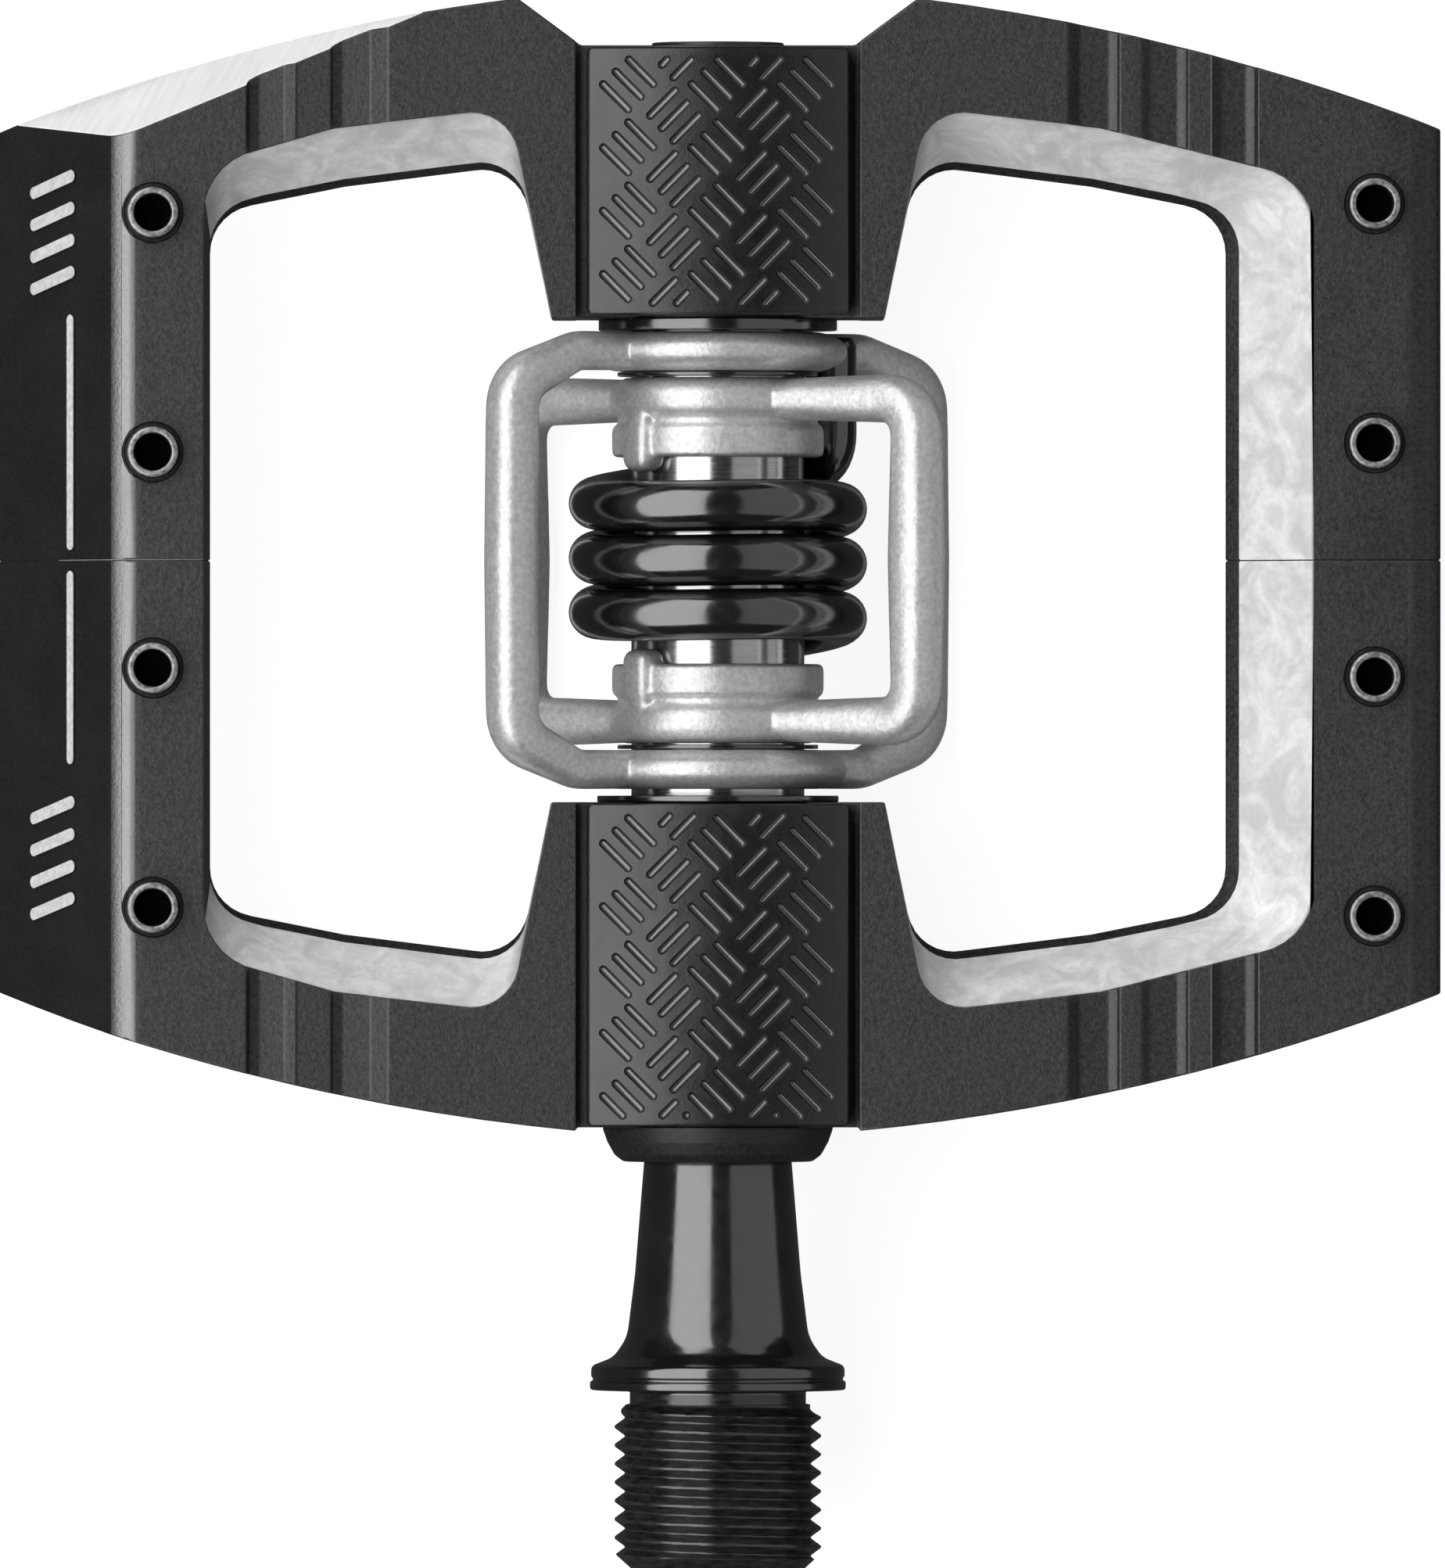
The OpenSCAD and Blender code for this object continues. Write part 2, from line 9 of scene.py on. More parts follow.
import bmesh
import bpy
from mathutils import Matrix, Vector


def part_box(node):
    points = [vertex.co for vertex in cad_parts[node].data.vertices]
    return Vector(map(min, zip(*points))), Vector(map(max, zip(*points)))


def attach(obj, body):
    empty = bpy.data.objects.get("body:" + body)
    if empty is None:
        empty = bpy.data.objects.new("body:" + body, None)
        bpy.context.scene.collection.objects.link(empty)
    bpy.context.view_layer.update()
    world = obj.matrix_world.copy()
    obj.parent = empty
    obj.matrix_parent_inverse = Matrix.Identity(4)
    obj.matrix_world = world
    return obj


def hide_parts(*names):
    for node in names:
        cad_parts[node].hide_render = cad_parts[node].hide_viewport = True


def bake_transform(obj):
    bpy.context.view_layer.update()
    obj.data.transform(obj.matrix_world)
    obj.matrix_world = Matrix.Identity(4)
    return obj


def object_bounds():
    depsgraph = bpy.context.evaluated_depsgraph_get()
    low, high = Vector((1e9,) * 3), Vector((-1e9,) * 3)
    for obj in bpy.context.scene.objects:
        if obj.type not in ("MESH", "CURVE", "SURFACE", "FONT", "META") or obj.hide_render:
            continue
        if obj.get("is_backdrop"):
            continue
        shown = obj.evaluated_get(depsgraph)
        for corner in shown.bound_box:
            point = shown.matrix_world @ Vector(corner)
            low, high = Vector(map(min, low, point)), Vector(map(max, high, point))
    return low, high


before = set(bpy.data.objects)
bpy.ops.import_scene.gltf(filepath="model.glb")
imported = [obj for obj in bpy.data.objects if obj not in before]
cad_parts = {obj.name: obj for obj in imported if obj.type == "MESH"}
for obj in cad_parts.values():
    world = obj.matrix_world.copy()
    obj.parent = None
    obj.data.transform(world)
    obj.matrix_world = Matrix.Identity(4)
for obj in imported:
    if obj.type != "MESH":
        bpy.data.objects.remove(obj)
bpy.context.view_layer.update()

MM = 0.001
TURN = 2 * math.pi
HALF_TURN = Matrix.Rotation(math.pi, 4, "Y")


# ---- Sizes read from the frame ----

MIDDLE = sum((corner / MM).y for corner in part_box("hub_sleeve")) / 2


def extent(node):
    """Lowest and highest corner of a CAD node in millimetres, measured from the platform's middle."""
    shift = Vector((0, MIDDLE, 0))
    return [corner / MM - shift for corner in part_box(node)]


SLEEVE_R = extent("hub_sleeve")[1].x
SLEEVE_END = extent("hub_sleeve")[1].y
HALF_THICK = extent("cage_outboard")[1].z
PAD_TOP = extent("pad_top_outboard")[1].z
SHOULDER = -MIDDLE
CUT_ANGLE = math.radians(22.3)
CUT_TILT = math.radians(-70)
CUT_NORMAL = Matrix.Rotation(CUT_ANGLE, 3, "Z") @ Matrix.Rotation(CUT_TILT, 3, "X") @ Vector((0, 0, 1))


# ---- Mesh helpers ----


def finished(name, bm, material, angle=35):
    """Object from a mesh in millimetres, with edges sharper than the angle kept crisp."""
    bmesh.ops.recalc_face_normals(bm, faces=bm.faces)
    bmesh.ops.transform(bm, matrix=Matrix.Diagonal((MM, MM, MM, 1)) @ Matrix.Translation((0, MIDDLE, 0)),
                        verts=bm.verts)
    mesh = bpy.data.meshes.new(name)
    bm.to_mesh(mesh)
    bm.free()
    for each in material if isinstance(material, list) else [material]:
        mesh.materials.append(each)
    mesh.shade_smooth()
    mesh.set_sharp_from_angle(angle=math.radians(angle))
    obj = bpy.data.objects.new(name, mesh)
    bpy.context.scene.collection.objects.link(obj)
    return obj


def stand_for(obj, body, slot, *nodes):
    """The piece moves with a CAD body and stands for CAD nodes. The slot is not used."""
    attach(obj, body)
    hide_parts(*nodes)


def settle(obj, angle=35):
    """Puts the result of the modifiers into the mesh itself."""
    settled = bpy.data.meshes.new_from_object(obj.evaluated_get(bpy.context.evaluated_depsgraph_get()))
    obj.modifiers.clear()
    obj.data = settled
    settled.shade_smooth()
    settled.set_sharp_from_angle(angle=math.radians(angle))


def rounded(corners, radius, steps=5, closed=True):
    """Outline through 2-D corners, each rounded by a radius: one number, or one for each corner."""
    outline = []
    for i, corner in enumerate(corners):
        here = Vector(corner)
        r = radius[i] if isinstance(radius, list) else radius
        if r <= 0 or (not closed and i in (0, len(corners) - 1)):
            outline.append(here)
            continue
        back = Vector(corners[i - 1]) - here
        ahead = Vector(corners[(i + 1) % len(corners)]) - here
        half = back.angle(ahead) / 2
        cut = min(r / math.tan(half), 0.48 * back.length, 0.48 * ahead.length)
        middle = (back.normalized() + ahead.normalized()).normalized() * (cut / math.cos(half))
        start = here + back.normalized() * cut - (here + middle)
        end = here + ahead.normalized() * cut - (here + middle)
        first = math.atan2(start.y, start.x)
        sweep = math.remainder(math.atan2(end.y, end.x) - first, TURN)
        for k in range(steps + 1):
            a = first + sweep * k / steps
            outline.append(here + middle + start.length * Vector((math.cos(a), math.sin(a))))
    return outline


def skin(bm, rings, closed=False, capped=True):
    """Joins rings of points, each ring going once round the section, into one skin."""
    rows = [[bm.verts.new(p) for p in ring] for ring in rings]
    pairs = list(zip(rows, rows[1:] + rows[:1])) if closed else list(zip(rows, rows[1:]))
    for low, high in pairs:
        count = max(len(low), len(high))
        for k in range(count):
            corners = [low[k % len(low)], low[(k + 1) % len(low)],
                       high[(k + 1) % len(high)], high[k % len(high)]]
            corners = list(dict.fromkeys(corners))
            if len(corners) > 2:
                bm.faces.new(corners)
    if capped and not closed:
        for row in (rows[0], rows[-1]):
            if len(row) > 2:
                bm.faces.new(row)


def lathe(bm, outline, place=Matrix.Identity(4), sides=128, closed=True):
    """Solid turned about the spindle from (radius, place along it) points, or about another axis by a matrix.

    An outline that isn't closed starts and ends on the axis.
    """
    rings = []
    for r, y in outline:
        count = 1 if r < 1e-6 else sides
        rings.append([place @ Vector((r * math.cos(TURN * k / sides), y, r * math.sin(TURN * k / sides)))
                      for k in range(count)])
    skin(bm, rings, closed=closed, capped=False)


def turned_piece(name, outline, radius, material, closed=True):
    """A piece that is one lathe-turned solid with rounded corners."""
    bm = bmesh.new()
    lathe(bm, rounded(outline, radius, closed=closed), closed=closed)
    return finished(name, bm, material)


def superellipse(half_a, half_b, power, sides=40):
    """Points round a section that is between an ellipse (power 2) and a rectangle."""
    points = []
    for k in range(sides):
        c, s = math.cos(TURN * k / sides), math.sin(TURN * k / sides)
        points.append((half_a * math.copysign(abs(c) ** (2 / power), c),
                       half_b * math.copysign(abs(s) ** (2 / power), s)))
    return points


# ---- Finishes ----


def grey(value):
    """Opaque grey of that linear brightness."""
    return (value, value, value, 1)


class Finish:
    """A material made of a Principled shader and a few procedural nodes, in the piece's own coordinates."""

    def __init__(self, name, **settings):
        self.material = bpy.data.materials.new(name)
        self.material.use_nodes = True
        self.tree = self.material.node_tree
        self.shader = self.tree.nodes["Principled BSDF"]
        coordinates = self.tree.nodes.new("ShaderNodeTexCoord")
        self.place, self.normal = coordinates.outputs["Object"], coordinates.outputs["Normal"]
        for socket, value in settings.items():
            self.shader.inputs[socket.replace("_", " ")].default_value = value

    def node(self, kind, inputs, **settings):
        made = self.tree.nodes.new("ShaderNode" + kind)
        for name, value in settings.items():
            setattr(made, name, value)
        for name, value in inputs.items():
            if isinstance(value, bpy.types.NodeSocket):
                self.tree.links.new(value, made.inputs[name])
            else:
                made.inputs[name].default_value = value
        return made

    def stretched(self, stretch, turn=(0, 0, 0)):
        """Coordinates turned, then squeezed along their axes, so that what is drawn in them is longer."""
        return self.node("Mapping", {"Vector": self.place, "Rotation": turn, "Scale": stretch},
                         vector_type="TEXTURE").outputs["Vector"]

    def noise(self, size, detail=2.0, rough=0.5, warp=0.0, place=None):
        """Cloudy noise whose blotches are about that many millimetres across."""
        inputs = {"Vector": place or self.place, "Scale": 1 / (size * MM), "Detail": detail, "Roughness": rough,
                  "Distortion": warp}
        return self.node("TexNoise", inputs).outputs["Fac"]

    def spread(self, source, low, high, start=0.35, end=0.65):
        """The source's range from start to end, spread from low to high."""
        return self.node("MapRange", {"Value": source, "From Min": start, "From Max": end, "To Min": low,
                                      "To Max": high}).outputs["Result"]

    def blend(self, share, low, high):
        """A grey or colour between low and high."""
        mix = self.node("Mix", {"Factor": share}, data_type="RGBA")
        for socket, value in (("A_Color", low), ("B_Color", high)):
            target = next(s for s in mix.inputs if s.identifier == socket)
            if isinstance(value, bpy.types.NodeSocket):
                self.tree.links.new(value, target)
            else:
                target.default_value = value
        return next(s for s in mix.outputs if s.identifier == "Result_Color")

    def near_edge(self, radius):
        """1 beside a sharp edge and 0 away from it."""
        soft = self.node("Bevel", {"Radius": radius * MM}, samples=4).outputs["Normal"]
        flat = self.node("NewGeometry", {}).outputs["True Normal"]
        along = self.node("VectorMath", {0: soft, 1: flat}, operation="DOT_PRODUCT").outputs["Value"]
        return self.spread(along, 1.0, 0.0, 0.90, 0.995)

    def faces_towards(self, way, start, end):
        """0 to 1 as the surface turns towards a direction of the piece, or away from it as much."""
        facing = self.node("VectorMath", {0: self.normal, 1: way}, operation="DOT_PRODUCT").outputs["Value"]
        either = self.node("Math", {0: facing}, operation="ABSOLUTE").outputs["Value"]
        return self.spread(either, 0.0, 1.0, start, end)

    def bump(self, height, depth, over=None):
        """Relief from 0 to 1, that many millimetres deep, over another relief if there is one."""
        made = self.node("Bump", {"Height": height, "Strength": 1.0, "Distance": depth * MM})
        if over is not None:
            self.tree.links.new(over, made.inputs["Normal"])
        return made.outputs["Normal"]

    def use(self, **sources):
        for socket, source in sources.items():
            self.tree.links.new(source, self.shader.inputs[socket.replace("_", " ")])
        return self.material


def anodised(name, sheen):
    """Black anodised aluminium over a fine blasted grain, painted a little lighter on its edges, partly as wear
    and partly as painted highlight.

    The sheen is a painted sheen: how much more it shines where it turns down towards a slanted end panel and
    catches the left softbox.
    """
    f = Finish(name, Metallic=0.0, IOR=1.5)
    speck = f.noise(0.3, detail=3, rough=0.7)
    cloud = f.noise(6, detail=3)
    colour = f.blend(f.spread(speck, 0, 1, 0.36, 0.64), grey(0.002), grey(0.024))
    # Edges painted lighter: partly wear, partly painted highlight.
    edge_wear_and_highlight = f.blend(f.near_edge(0.14), colour, grey(0.05))
    # Painted sheen: more shine where the surface turns to catch the left softbox.
    painted_sheen_mask = f.faces_towards((-0.48, 0, 0.877), 0.93, 0.99)
    return f.use(Base_Color=edge_wear_and_highlight, Roughness=f.spread(cloud, 0.37, 0.43),
                 Specular_IOR_Level=f.spread(painted_sheen_mask, 0.5, 0.5 + sheen, 0, 1),
                 Normal=f.bump(f.noise(0.34, detail=4, rough=0.75), 0.06))


def anodised_smooth():
    """The smoother black of the slanted end panels."""
    f = Finish("black_anodised_smooth", Metallic=0.0, IOR=1.5)
    colour = f.blend(f.spread(f.noise(0.25, detail=3), 0, 1), grey(0.006), grey(0.010))
    return f.use(Base_Color=colour, Roughness=f.spread(f.noise(5), 0.38, 0.46),
                 Normal=f.bump(f.noise(0.25, detail=3), 0.012))


def raw_aluminium():
    """Bare machined aluminium, cloudy with handling and faint cutter lines, with painted shade darkening the end
    walls.
    """
    f = Finish("raw_aluminium", Metallic=0.2)
    cloud = f.noise(3.5, detail=5, rough=0.62, warp=1.6)
    fine = f.noise(0.5, detail=3)
    lines = f.noise(0.16, detail=2, place=f.stretched((6, 6, 1)))
    tone = f.blend(f.spread(cloud, 0, 1, 0.38, 0.62), grey(0.68), grey(0.88))
    tone = f.blend(f.spread(fine, 0, 0.35, 0.4, 0.75), tone, grey(0.56))
    # Painted shade: walls facing along the platform are painted darker.
    tone = f.blend(f.faces_towards((1, 0, 0), 0.6, 1.2), tone, grey(0.2))
    return f.use(Base_Color=tone, Roughness=f.spread(cloud, 0.34, 0.50),
                 Normal=f.bump(lines, 0.006, f.bump(cloud, 0.03)))


def milled_aluminium():
    """The bright slanting cut, with diagonal streaks left by the cutter."""
    f = Finish("milled_aluminium", Metallic=0.2)
    line = Vector((math.cos(CUT_ANGLE), math.sin(CUT_ANGLE), 0))
    along = 0.37 * line + 0.93 * CUT_NORMAL.cross(line)
    turned = f.stretched((18, 1, 1), along.to_track_quat("X", "Z").to_euler())
    streaks = f.noise(0.5, detail=4, rough=0.7, place=turned)
    cloud = f.noise(7, detail=2)
    tone = f.blend(f.spread(streaks, 0, 1, 0.35, 0.65), grey(0.88), grey(1.0))
    return f.use(Base_Color=tone, Roughness=f.spread(cloud, 0.28, 0.40), Normal=f.bump(streaks, 0.012))


def cast_stainless():
    """Satin stainless steel with the soft pebbled skin of a blasted casting."""
    f = Finish("cast_stainless", Metallic=0.6)
    pebble = f.noise(0.35, detail=3, rough=0.6)
    swell = f.noise(1.8, detail=2)
    tone = f.blend(f.spread(pebble, 0, 1, 0.3, 0.7), grey(0.46), grey(0.64))
    return f.use(Base_Color=tone, Roughness=f.spread(f.noise(0.6, detail=3), 0.36, 0.45),
                 Normal=f.bump(pebble, 0.030, f.bump(swell, 0.05)))


def polished_steel():
    """Near-mirror steel with faint polishing lines round the spindle."""
    f = Finish("polished_steel", Metallic=1.0)
    lines = f.noise(0.10, detail=2, place=f.stretched((30, 1, 30)))
    tone = f.blend(f.spread(lines, 0, 1), grey(0.42), grey(0.52))
    return f.use(Base_Color=tone, Roughness=f.spread(lines, 0.12, 0.2), Normal=f.bump(lines, 0.001))


def gloss_black(name, base, wave):
    """Gloss black coat, very slightly uneven."""
    f = Finish(name, Metallic=0.0, IOR=2.0, Coat_Weight=0.3, Coat_Roughness=0.05)
    uneven = f.noise(wave, detail=2)
    tone = f.blend(f.spread(uneven, 0, 1), grey(base), grey(base * 1.8))
    return f.use(Base_Color=tone, Roughness=f.spread(f.noise(1.2, detail=3), 0.13, 0.20),
                 Normal=f.bump(uneven, 0.012))


def thread_black():
    """The spindle's coat where the thread has been run in and out, painted lighter on its crests, partly as wear
    and partly as painted highlight.
    """
    f = Finish("thread_black", Metallic=0.0, IOR=1.7)
    lines = f.noise(0.3, detail=3, place=f.stretched((4, 1, 4)))
    tone = f.blend(f.spread(lines, 0, 1), grey(0.005), grey(0.02))
    # Crests painted lighter: partly wear, partly painted highlight.
    edge_wear_and_highlight = f.blend(f.near_edge(0.06), tone, grey(0.05))
    return f.use(Base_Color=edge_wear_and_highlight, Roughness=f.spread(lines, 0.18, 0.30))


def pad_plastic(name, index, rough):
    """Satin moulded plastic with a fine grain, its edges painted lighter, partly as wear and partly as painted
    highlight.
    """
    f = Finish(name, Metallic=0.0, IOR=index)
    grain = f.noise(0.18, detail=3, rough=0.65)
    scuff = f.noise(2.5, detail=4, warp=0.6)
    tone = f.blend(f.spread(grain, 0, 1), grey(0.003), grey(0.009))
    # Edges painted lighter: partly wear, partly painted highlight.
    edge_wear_and_highlight = f.blend(f.near_edge(0.1), tone, grey(0.025))
    return f.use(Base_Color=edge_wear_and_highlight, Roughness=f.spread(scuff, rough, rough + 0.08), Normal=f.bump(grain, 0.010))


def pin_steel(name, base, bare):
    """Blackened steel, rubbed bare as far as is stated; the rim copy is lighter, partly as wear and partly as
    painted highlight.
    """
    f = Finish(name, Metallic=bare, IOR=1.8)
    grain = f.noise(0.3, detail=3)
    tone = f.blend(f.spread(grain, 0, 1), grey(base), grey(base * 2.2))
    return f.use(Base_Color=tone, Roughness=f.spread(grain, 0.26, 0.38), Normal=f.bump(grain, 0.006))


def satin_black(name, base, rough, size, sheen=0.5):
    """Plain satin black of rubber and small mouldings, also the painted shade inside the pin hollows."""
    f = Finish(name, Metallic=0.0, IOR=1.5, Specular_IOR_Level=sheen)
    grain = f.noise(size, detail=3)
    tone = f.blend(f.spread(grain, 0, 1), grey(base), grey(base * 1.7))
    return f.use(Base_Color=tone, Roughness=f.spread(grain, rough, rough + 0.12), Normal=f.bump(grain, 0.010))


def bearing_steel():
    """Ground bearing steel with fine lines round the axis."""
    f = Finish("bearing_steel", Metallic=1.0)
    lines = f.noise(0.08, detail=2, place=f.stretched((25, 1, 25)))
    return f.use(Base_Color=f.blend(f.spread(lines, 0, 1), grey(0.5), grey(0.66)),
                 Roughness=f.spread(lines, 0.16, 0.28))


def bushing_polymer():
    """Tan bearing polymer."""
    f = Finish("bushing_polymer", Metallic=0.0, IOR=1.5)
    mottle = f.noise(0.5, detail=4)
    return f.use(Base_Color=f.blend(f.spread(mottle, 0, 1), (0.36, 0.27, 0.13, 1), (0.5, 0.4, 0.22, 1)),
                 Roughness=f.spread(mottle, 0.42, 0.58), Normal=f.bump(mottle, 0.01))


def stripe_paint():
    """Silver-grey print, a little thin in places."""
    f = Finish("stripe_paint", Metallic=0.2)
    thin = f.noise(0.4, detail=3)
    return f.use(Base_Color=f.blend(f.spread(thin, 0, 1), grey(0.50), grey(0.62)),
                 Roughness=f.spread(thin, 0.4, 0.5))


def floor_paint():
    """Pale studio floor that glows enough to stay almost white under the object."""
    f = Finish("floor_paint", Emission_Strength=0.9)
    cloud = f.noise(900, detail=1)
    tone = f.blend(f.spread(cloud, 0, 1), grey(0.28), grey(0.30))
    glow = f.blend(f.spread(cloud, 0, 1), grey(0.98), grey(1.0))
    return f.use(Base_Color=tone, Roughness=f.spread(cloud, 0.85, 0.95), Emission_Color=glow)


# Both blacks carry a painted sheen towards the left softbox; the second, for the rounded panel edges, a strong
# one.
ANODISED = anodised("black_anodised", 0.2)
ANODISED_PAINTED_SHEEN = anodised("black_anodised_painted_sheen", 2.2)
PANEL = anodised_smooth()
RAW = raw_aluminium()
MILLED = milled_aluminium()
STAINLESS = cast_stainless()
POLISHED = polished_steel()
SPRING_BLACK = gloss_black("spring_black", 0.003, 2.0)
SPINDLE_BLACK = gloss_black("spindle_black", 0.004, 4.0)
THREAD_BLACK = thread_black()
PAD = pad_plastic("pad_plastic", 1.6, 0.22)
PAD_SLOT = pad_plastic("pad_plastic_gloss", 2.1, 0.28)
PIN = pin_steel("pin_steel", 0.006, 0.0)
# Pin rims painted lighter: partly wear, partly painted highlight.
PIN_RIM_WEAR_AND_HIGHLIGHT = pin_steel("pin_steel_rim_wear_and_highlight", 0.16, 0.5)
BEARING = bearing_steel()
BUSHING = bushing_polymer()
# Painted shade: near-black with little shine for the inside of the pin hollows.
PIN_HOLLOW = satin_black("pin_hollow_painted_shade", 0.001, 0.8, 0.3, 0.1)
SEAL = satin_black("seal_rubber", 0.008, 0.42, 0.3)
CAP = satin_black("cap_plastic", 0.012, 0.34, 0.25)
BOLT = satin_black("bolt_black", 0.014, 0.28, 0.2)


# ---- Platform cage ----

WINDOW_X = (11.2, 41)
WINDOW_Y = 34
WINDOW_MIDDLE_X = 24
GROOVED_X = (20, 37.5)
GROOVE_LOW = HALF_THICK - 1.4
BLACK_BAND = 0.85


def is_milled(n):
    """True on the two slanting cuts."""
    return any(n.dot(cut) > 0.999 for cut in (CUT_NORMAL, HALF_TURN.to_3x3() @ CUT_NORMAL))


def is_panel(x, n):
    """True on the two slanted end panels."""
    return (abs(x) > WINDOW_X[1] and abs(n.y) < 0.02 and 0.5 < abs(n.z) < 0.66
            and n.x * n.z < 0 == (x * n.x < 0))


def is_panel_edge(x, z, n):
    """True on the rounded edge between a slanted end panel and the face above it."""
    return 39.4 < abs(x) < 42.2 and x * z < 0 and x * n.x > 0 and abs(n.y) < 0.05 and 0.57 < abs(n.z) < 0.9995


def is_window_wall(x, y, z, n):
    """True on the machined walls of the two windows, but not on the black line round their waist."""
    if not WINDOW_X[0] < abs(x) < WINDOW_X[1] or abs(y) > WINDOW_Y or abs(n.z) > 0.95 or abs(z) < BLACK_BAND:
        return False
    if abs(n.y) < 0.02 and GROOVED_X[0] < abs(x) < GROOVED_X[1] and abs(z) > GROOVE_LOW:
        return False
    if x * z < -3 * abs(x) and any(math.hypot(abs(x) - 38.7, abs(y) - pin_y) < 2.2 for pin_y in (7.4, 23.8)):
        return False
    if abs(x) > 38.2 and abs(z) < 2.9:
        return False
    if abs(x) > 34.6 and x * z < 0 and abs(n.x) > 0.97:
        return False
    middle = math.copysign(WINDOW_MIDDLE_X, x)
    return (middle - x) * n.x - y * n.y > 0


def cage_half(node):
    """The CAD shell with eased edges, bare aluminium in its windows and on its slanting cuts."""
    bm = bmesh.new()
    bm.from_mesh(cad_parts[node].data)
    bmesh.ops.transform(bm, matrix=Matrix.Translation((0, -MIDDLE, 0)) @ Matrix.Diagonal(
        (1 / MM, 1 / MM, 1 / MM, 1)), verts=bm.verts)
    bmesh.ops.remove_doubles(bm, verts=bm.verts, dist=0.002)
    bmesh.ops.dissolve_limit(bm, angle_limit=math.radians(0.4), verts=bm.verts, edges=bm.edges)
    for z in (-BLACK_BAND, BLACK_BAND):
        bmesh.ops.bisect_plane(bm, geom=[*bm.verts, *bm.edges, *bm.faces], plane_co=(0, 0, z),
                               plane_no=(0, 0, 1))
    for face in bm.faces:
        x, y, z = face.calc_center_median()
        n = face.normal
        if is_milled(n):
            face.material_index = 2
        elif is_window_wall(x, y, z, n):
            face.material_index = 1
        elif is_panel(x, n):
            face.material_index = 3
        elif is_panel_edge(x, z, n):
            # Rounded panel edges take the black with the strong painted sheen.
            face.material_index = 4
        else:
            face.material_index = 0
    obj = finished(node + "_shell", bm, [ANODISED, RAW, MILLED, PANEL, ANODISED_PAINTED_SHEEN])
    bevel = obj.modifiers.new("eased edges", "BEVEL")
    bevel.width = 0.14 * MM
    bevel.segments = 2
    bevel.limit_method = "ANGLE"
    bevel.angle_limit = math.radians(28)
    bevel.use_clamp_overlap = False
    settle(obj, 28)
    flat = obj.modifiers.new("flat faces", "WEIGHTED_NORMAL")
    flat.keep_sharp = True
    stand_for(obj, "platform", "black_anodised_cage", node)


# ---- Pads ----

SLOT_LENGTH = 2.4
SLOT_R = 0.28
PATTERN = Vector((6.05, 4.33))
TRIPLES = [(Vector((-7.0, 31.7)), Vector((0.86, 0.86)), -1),
           (Vector((-3.78, 31.26)), Vector((0.8, -0.86)), 1)]
SLOT_LIMIT_X = 8.0
PAD_CROWN = 35.0


def crown(x):
    """Height of a pad's top."""
    return PAD_TOP - PAD_CROWN + math.sqrt(PAD_CROWN**2 - x * x)


def slots(low_y, high_y):
    """Ends of the herringbone slots between two places, cut off where they would cross the border."""
    ends = []
    for first, step, lean in TRIPLES:
        way = Vector((1, lean)).normalized() * (SLOT_LENGTH / 2)
        for column in range(3):
            for row in range(-1, 18):
                for k in range(3):
                    middle = first + step * k + Vector((column * PATTERN.x, -row * PATTERN.y))
                    if abs(middle.x) > SLOT_LIMIT_X:
                        continue
                    inside = [t for t in (i / 20 for i in range(-20, 21))
                              if low_y < middle.y + way.y * t < high_y
                              and abs(middle.x + way.x * t) < SLOT_LIMIT_X]
                    if inside:
                        ends.append((middle + way * inside[0], middle + way * inside[-1]))
    return ends


def slot_cutter(bm, start, end):
    """A round-bottomed groove that follows the pad's crown."""
    along = end - start if (end - start).length > 0.05 else Vector((0.05, 0.05))
    turn = math.atan2(along.y, along.x)
    rings = []
    for depth, r in ((-0.5, SLOT_R + 0.2), (-0.02, SLOT_R + 0.04), (0.1, SLOT_R - 0.01), (0.2, SLOT_R - 0.06),
                     (0.27, SLOT_R - 0.13), (0.3, SLOT_R - 0.2)):
        ring = []
        for k in range(16):
            a = turn + math.pi / 2 + TURN * k / 16
            base = start if k <= 8 else end
            point = base + r * Vector((math.cos(a), math.sin(a)))
            ring.append((point.x, point.y, crown(point.x) - depth))
        rings.append(ring)
    skin(bm, rings)


def pad_body(bm, low, high):
    """Crowned block that sits over the hub tube, with eased edges."""
    half = high.x
    top = [(x, crown(x)) for x in (half * (1 - k / 10) for k in range(21))]
    section = rounded([(-half, low.z), (half, low.z)] + top, [0.0, 0.0, 0.45] + [0.0] * 19 + [0.45])
    ends = [(low.y, 0.35), (low.y + 0.1, 0.12), (low.y + 0.3, 0.0), (high.y - 0.3, 0.0), (high.y - 0.1, 0.12),
            (high.y, 0.35)]
    middle_z = (low.z + PAD_TOP) / 2
    rings = []
    for y, inset in ends:
        k_x, k_z = 1 - inset / half, 1 - inset / (PAD_TOP - middle_z) * 0.8
        rings.append([(p.x * k_x, y, middle_z + (p.y - middle_z) * k_z) for p in section])
    skin(bm, rings)


def pad(node):
    """Traction pad with its herringbone of slots."""
    low, high = extent(node)
    below = high.z < 0
    if below:
        low.z, high.z = -high.z, -low.z
    body = bmesh.new()
    pad_body(body, low, high)
    cuts = bmesh.new()
    for start, end in slots(low.y + 0.75, high.y - 0.85):
        slot_cutter(cuts, start, end)
    obj = finished(node + "_moulding", body, PAD)
    cutter = finished("slots", cuts, PAD_SLOT)
    cut = obj.modifiers.new("slots", "BOOLEAN")
    cut.material_mode = "TRANSFER"
    cut.operation = "DIFFERENCE"
    cut.solver = "EXACT"
    cut.object = cutter
    settle(obj, 28)
    bpy.data.objects.remove(cutter)
    if below:
        obj.data.transform(HALF_TURN)
    stand_for(obj, "platform", "pad_plastic", node)


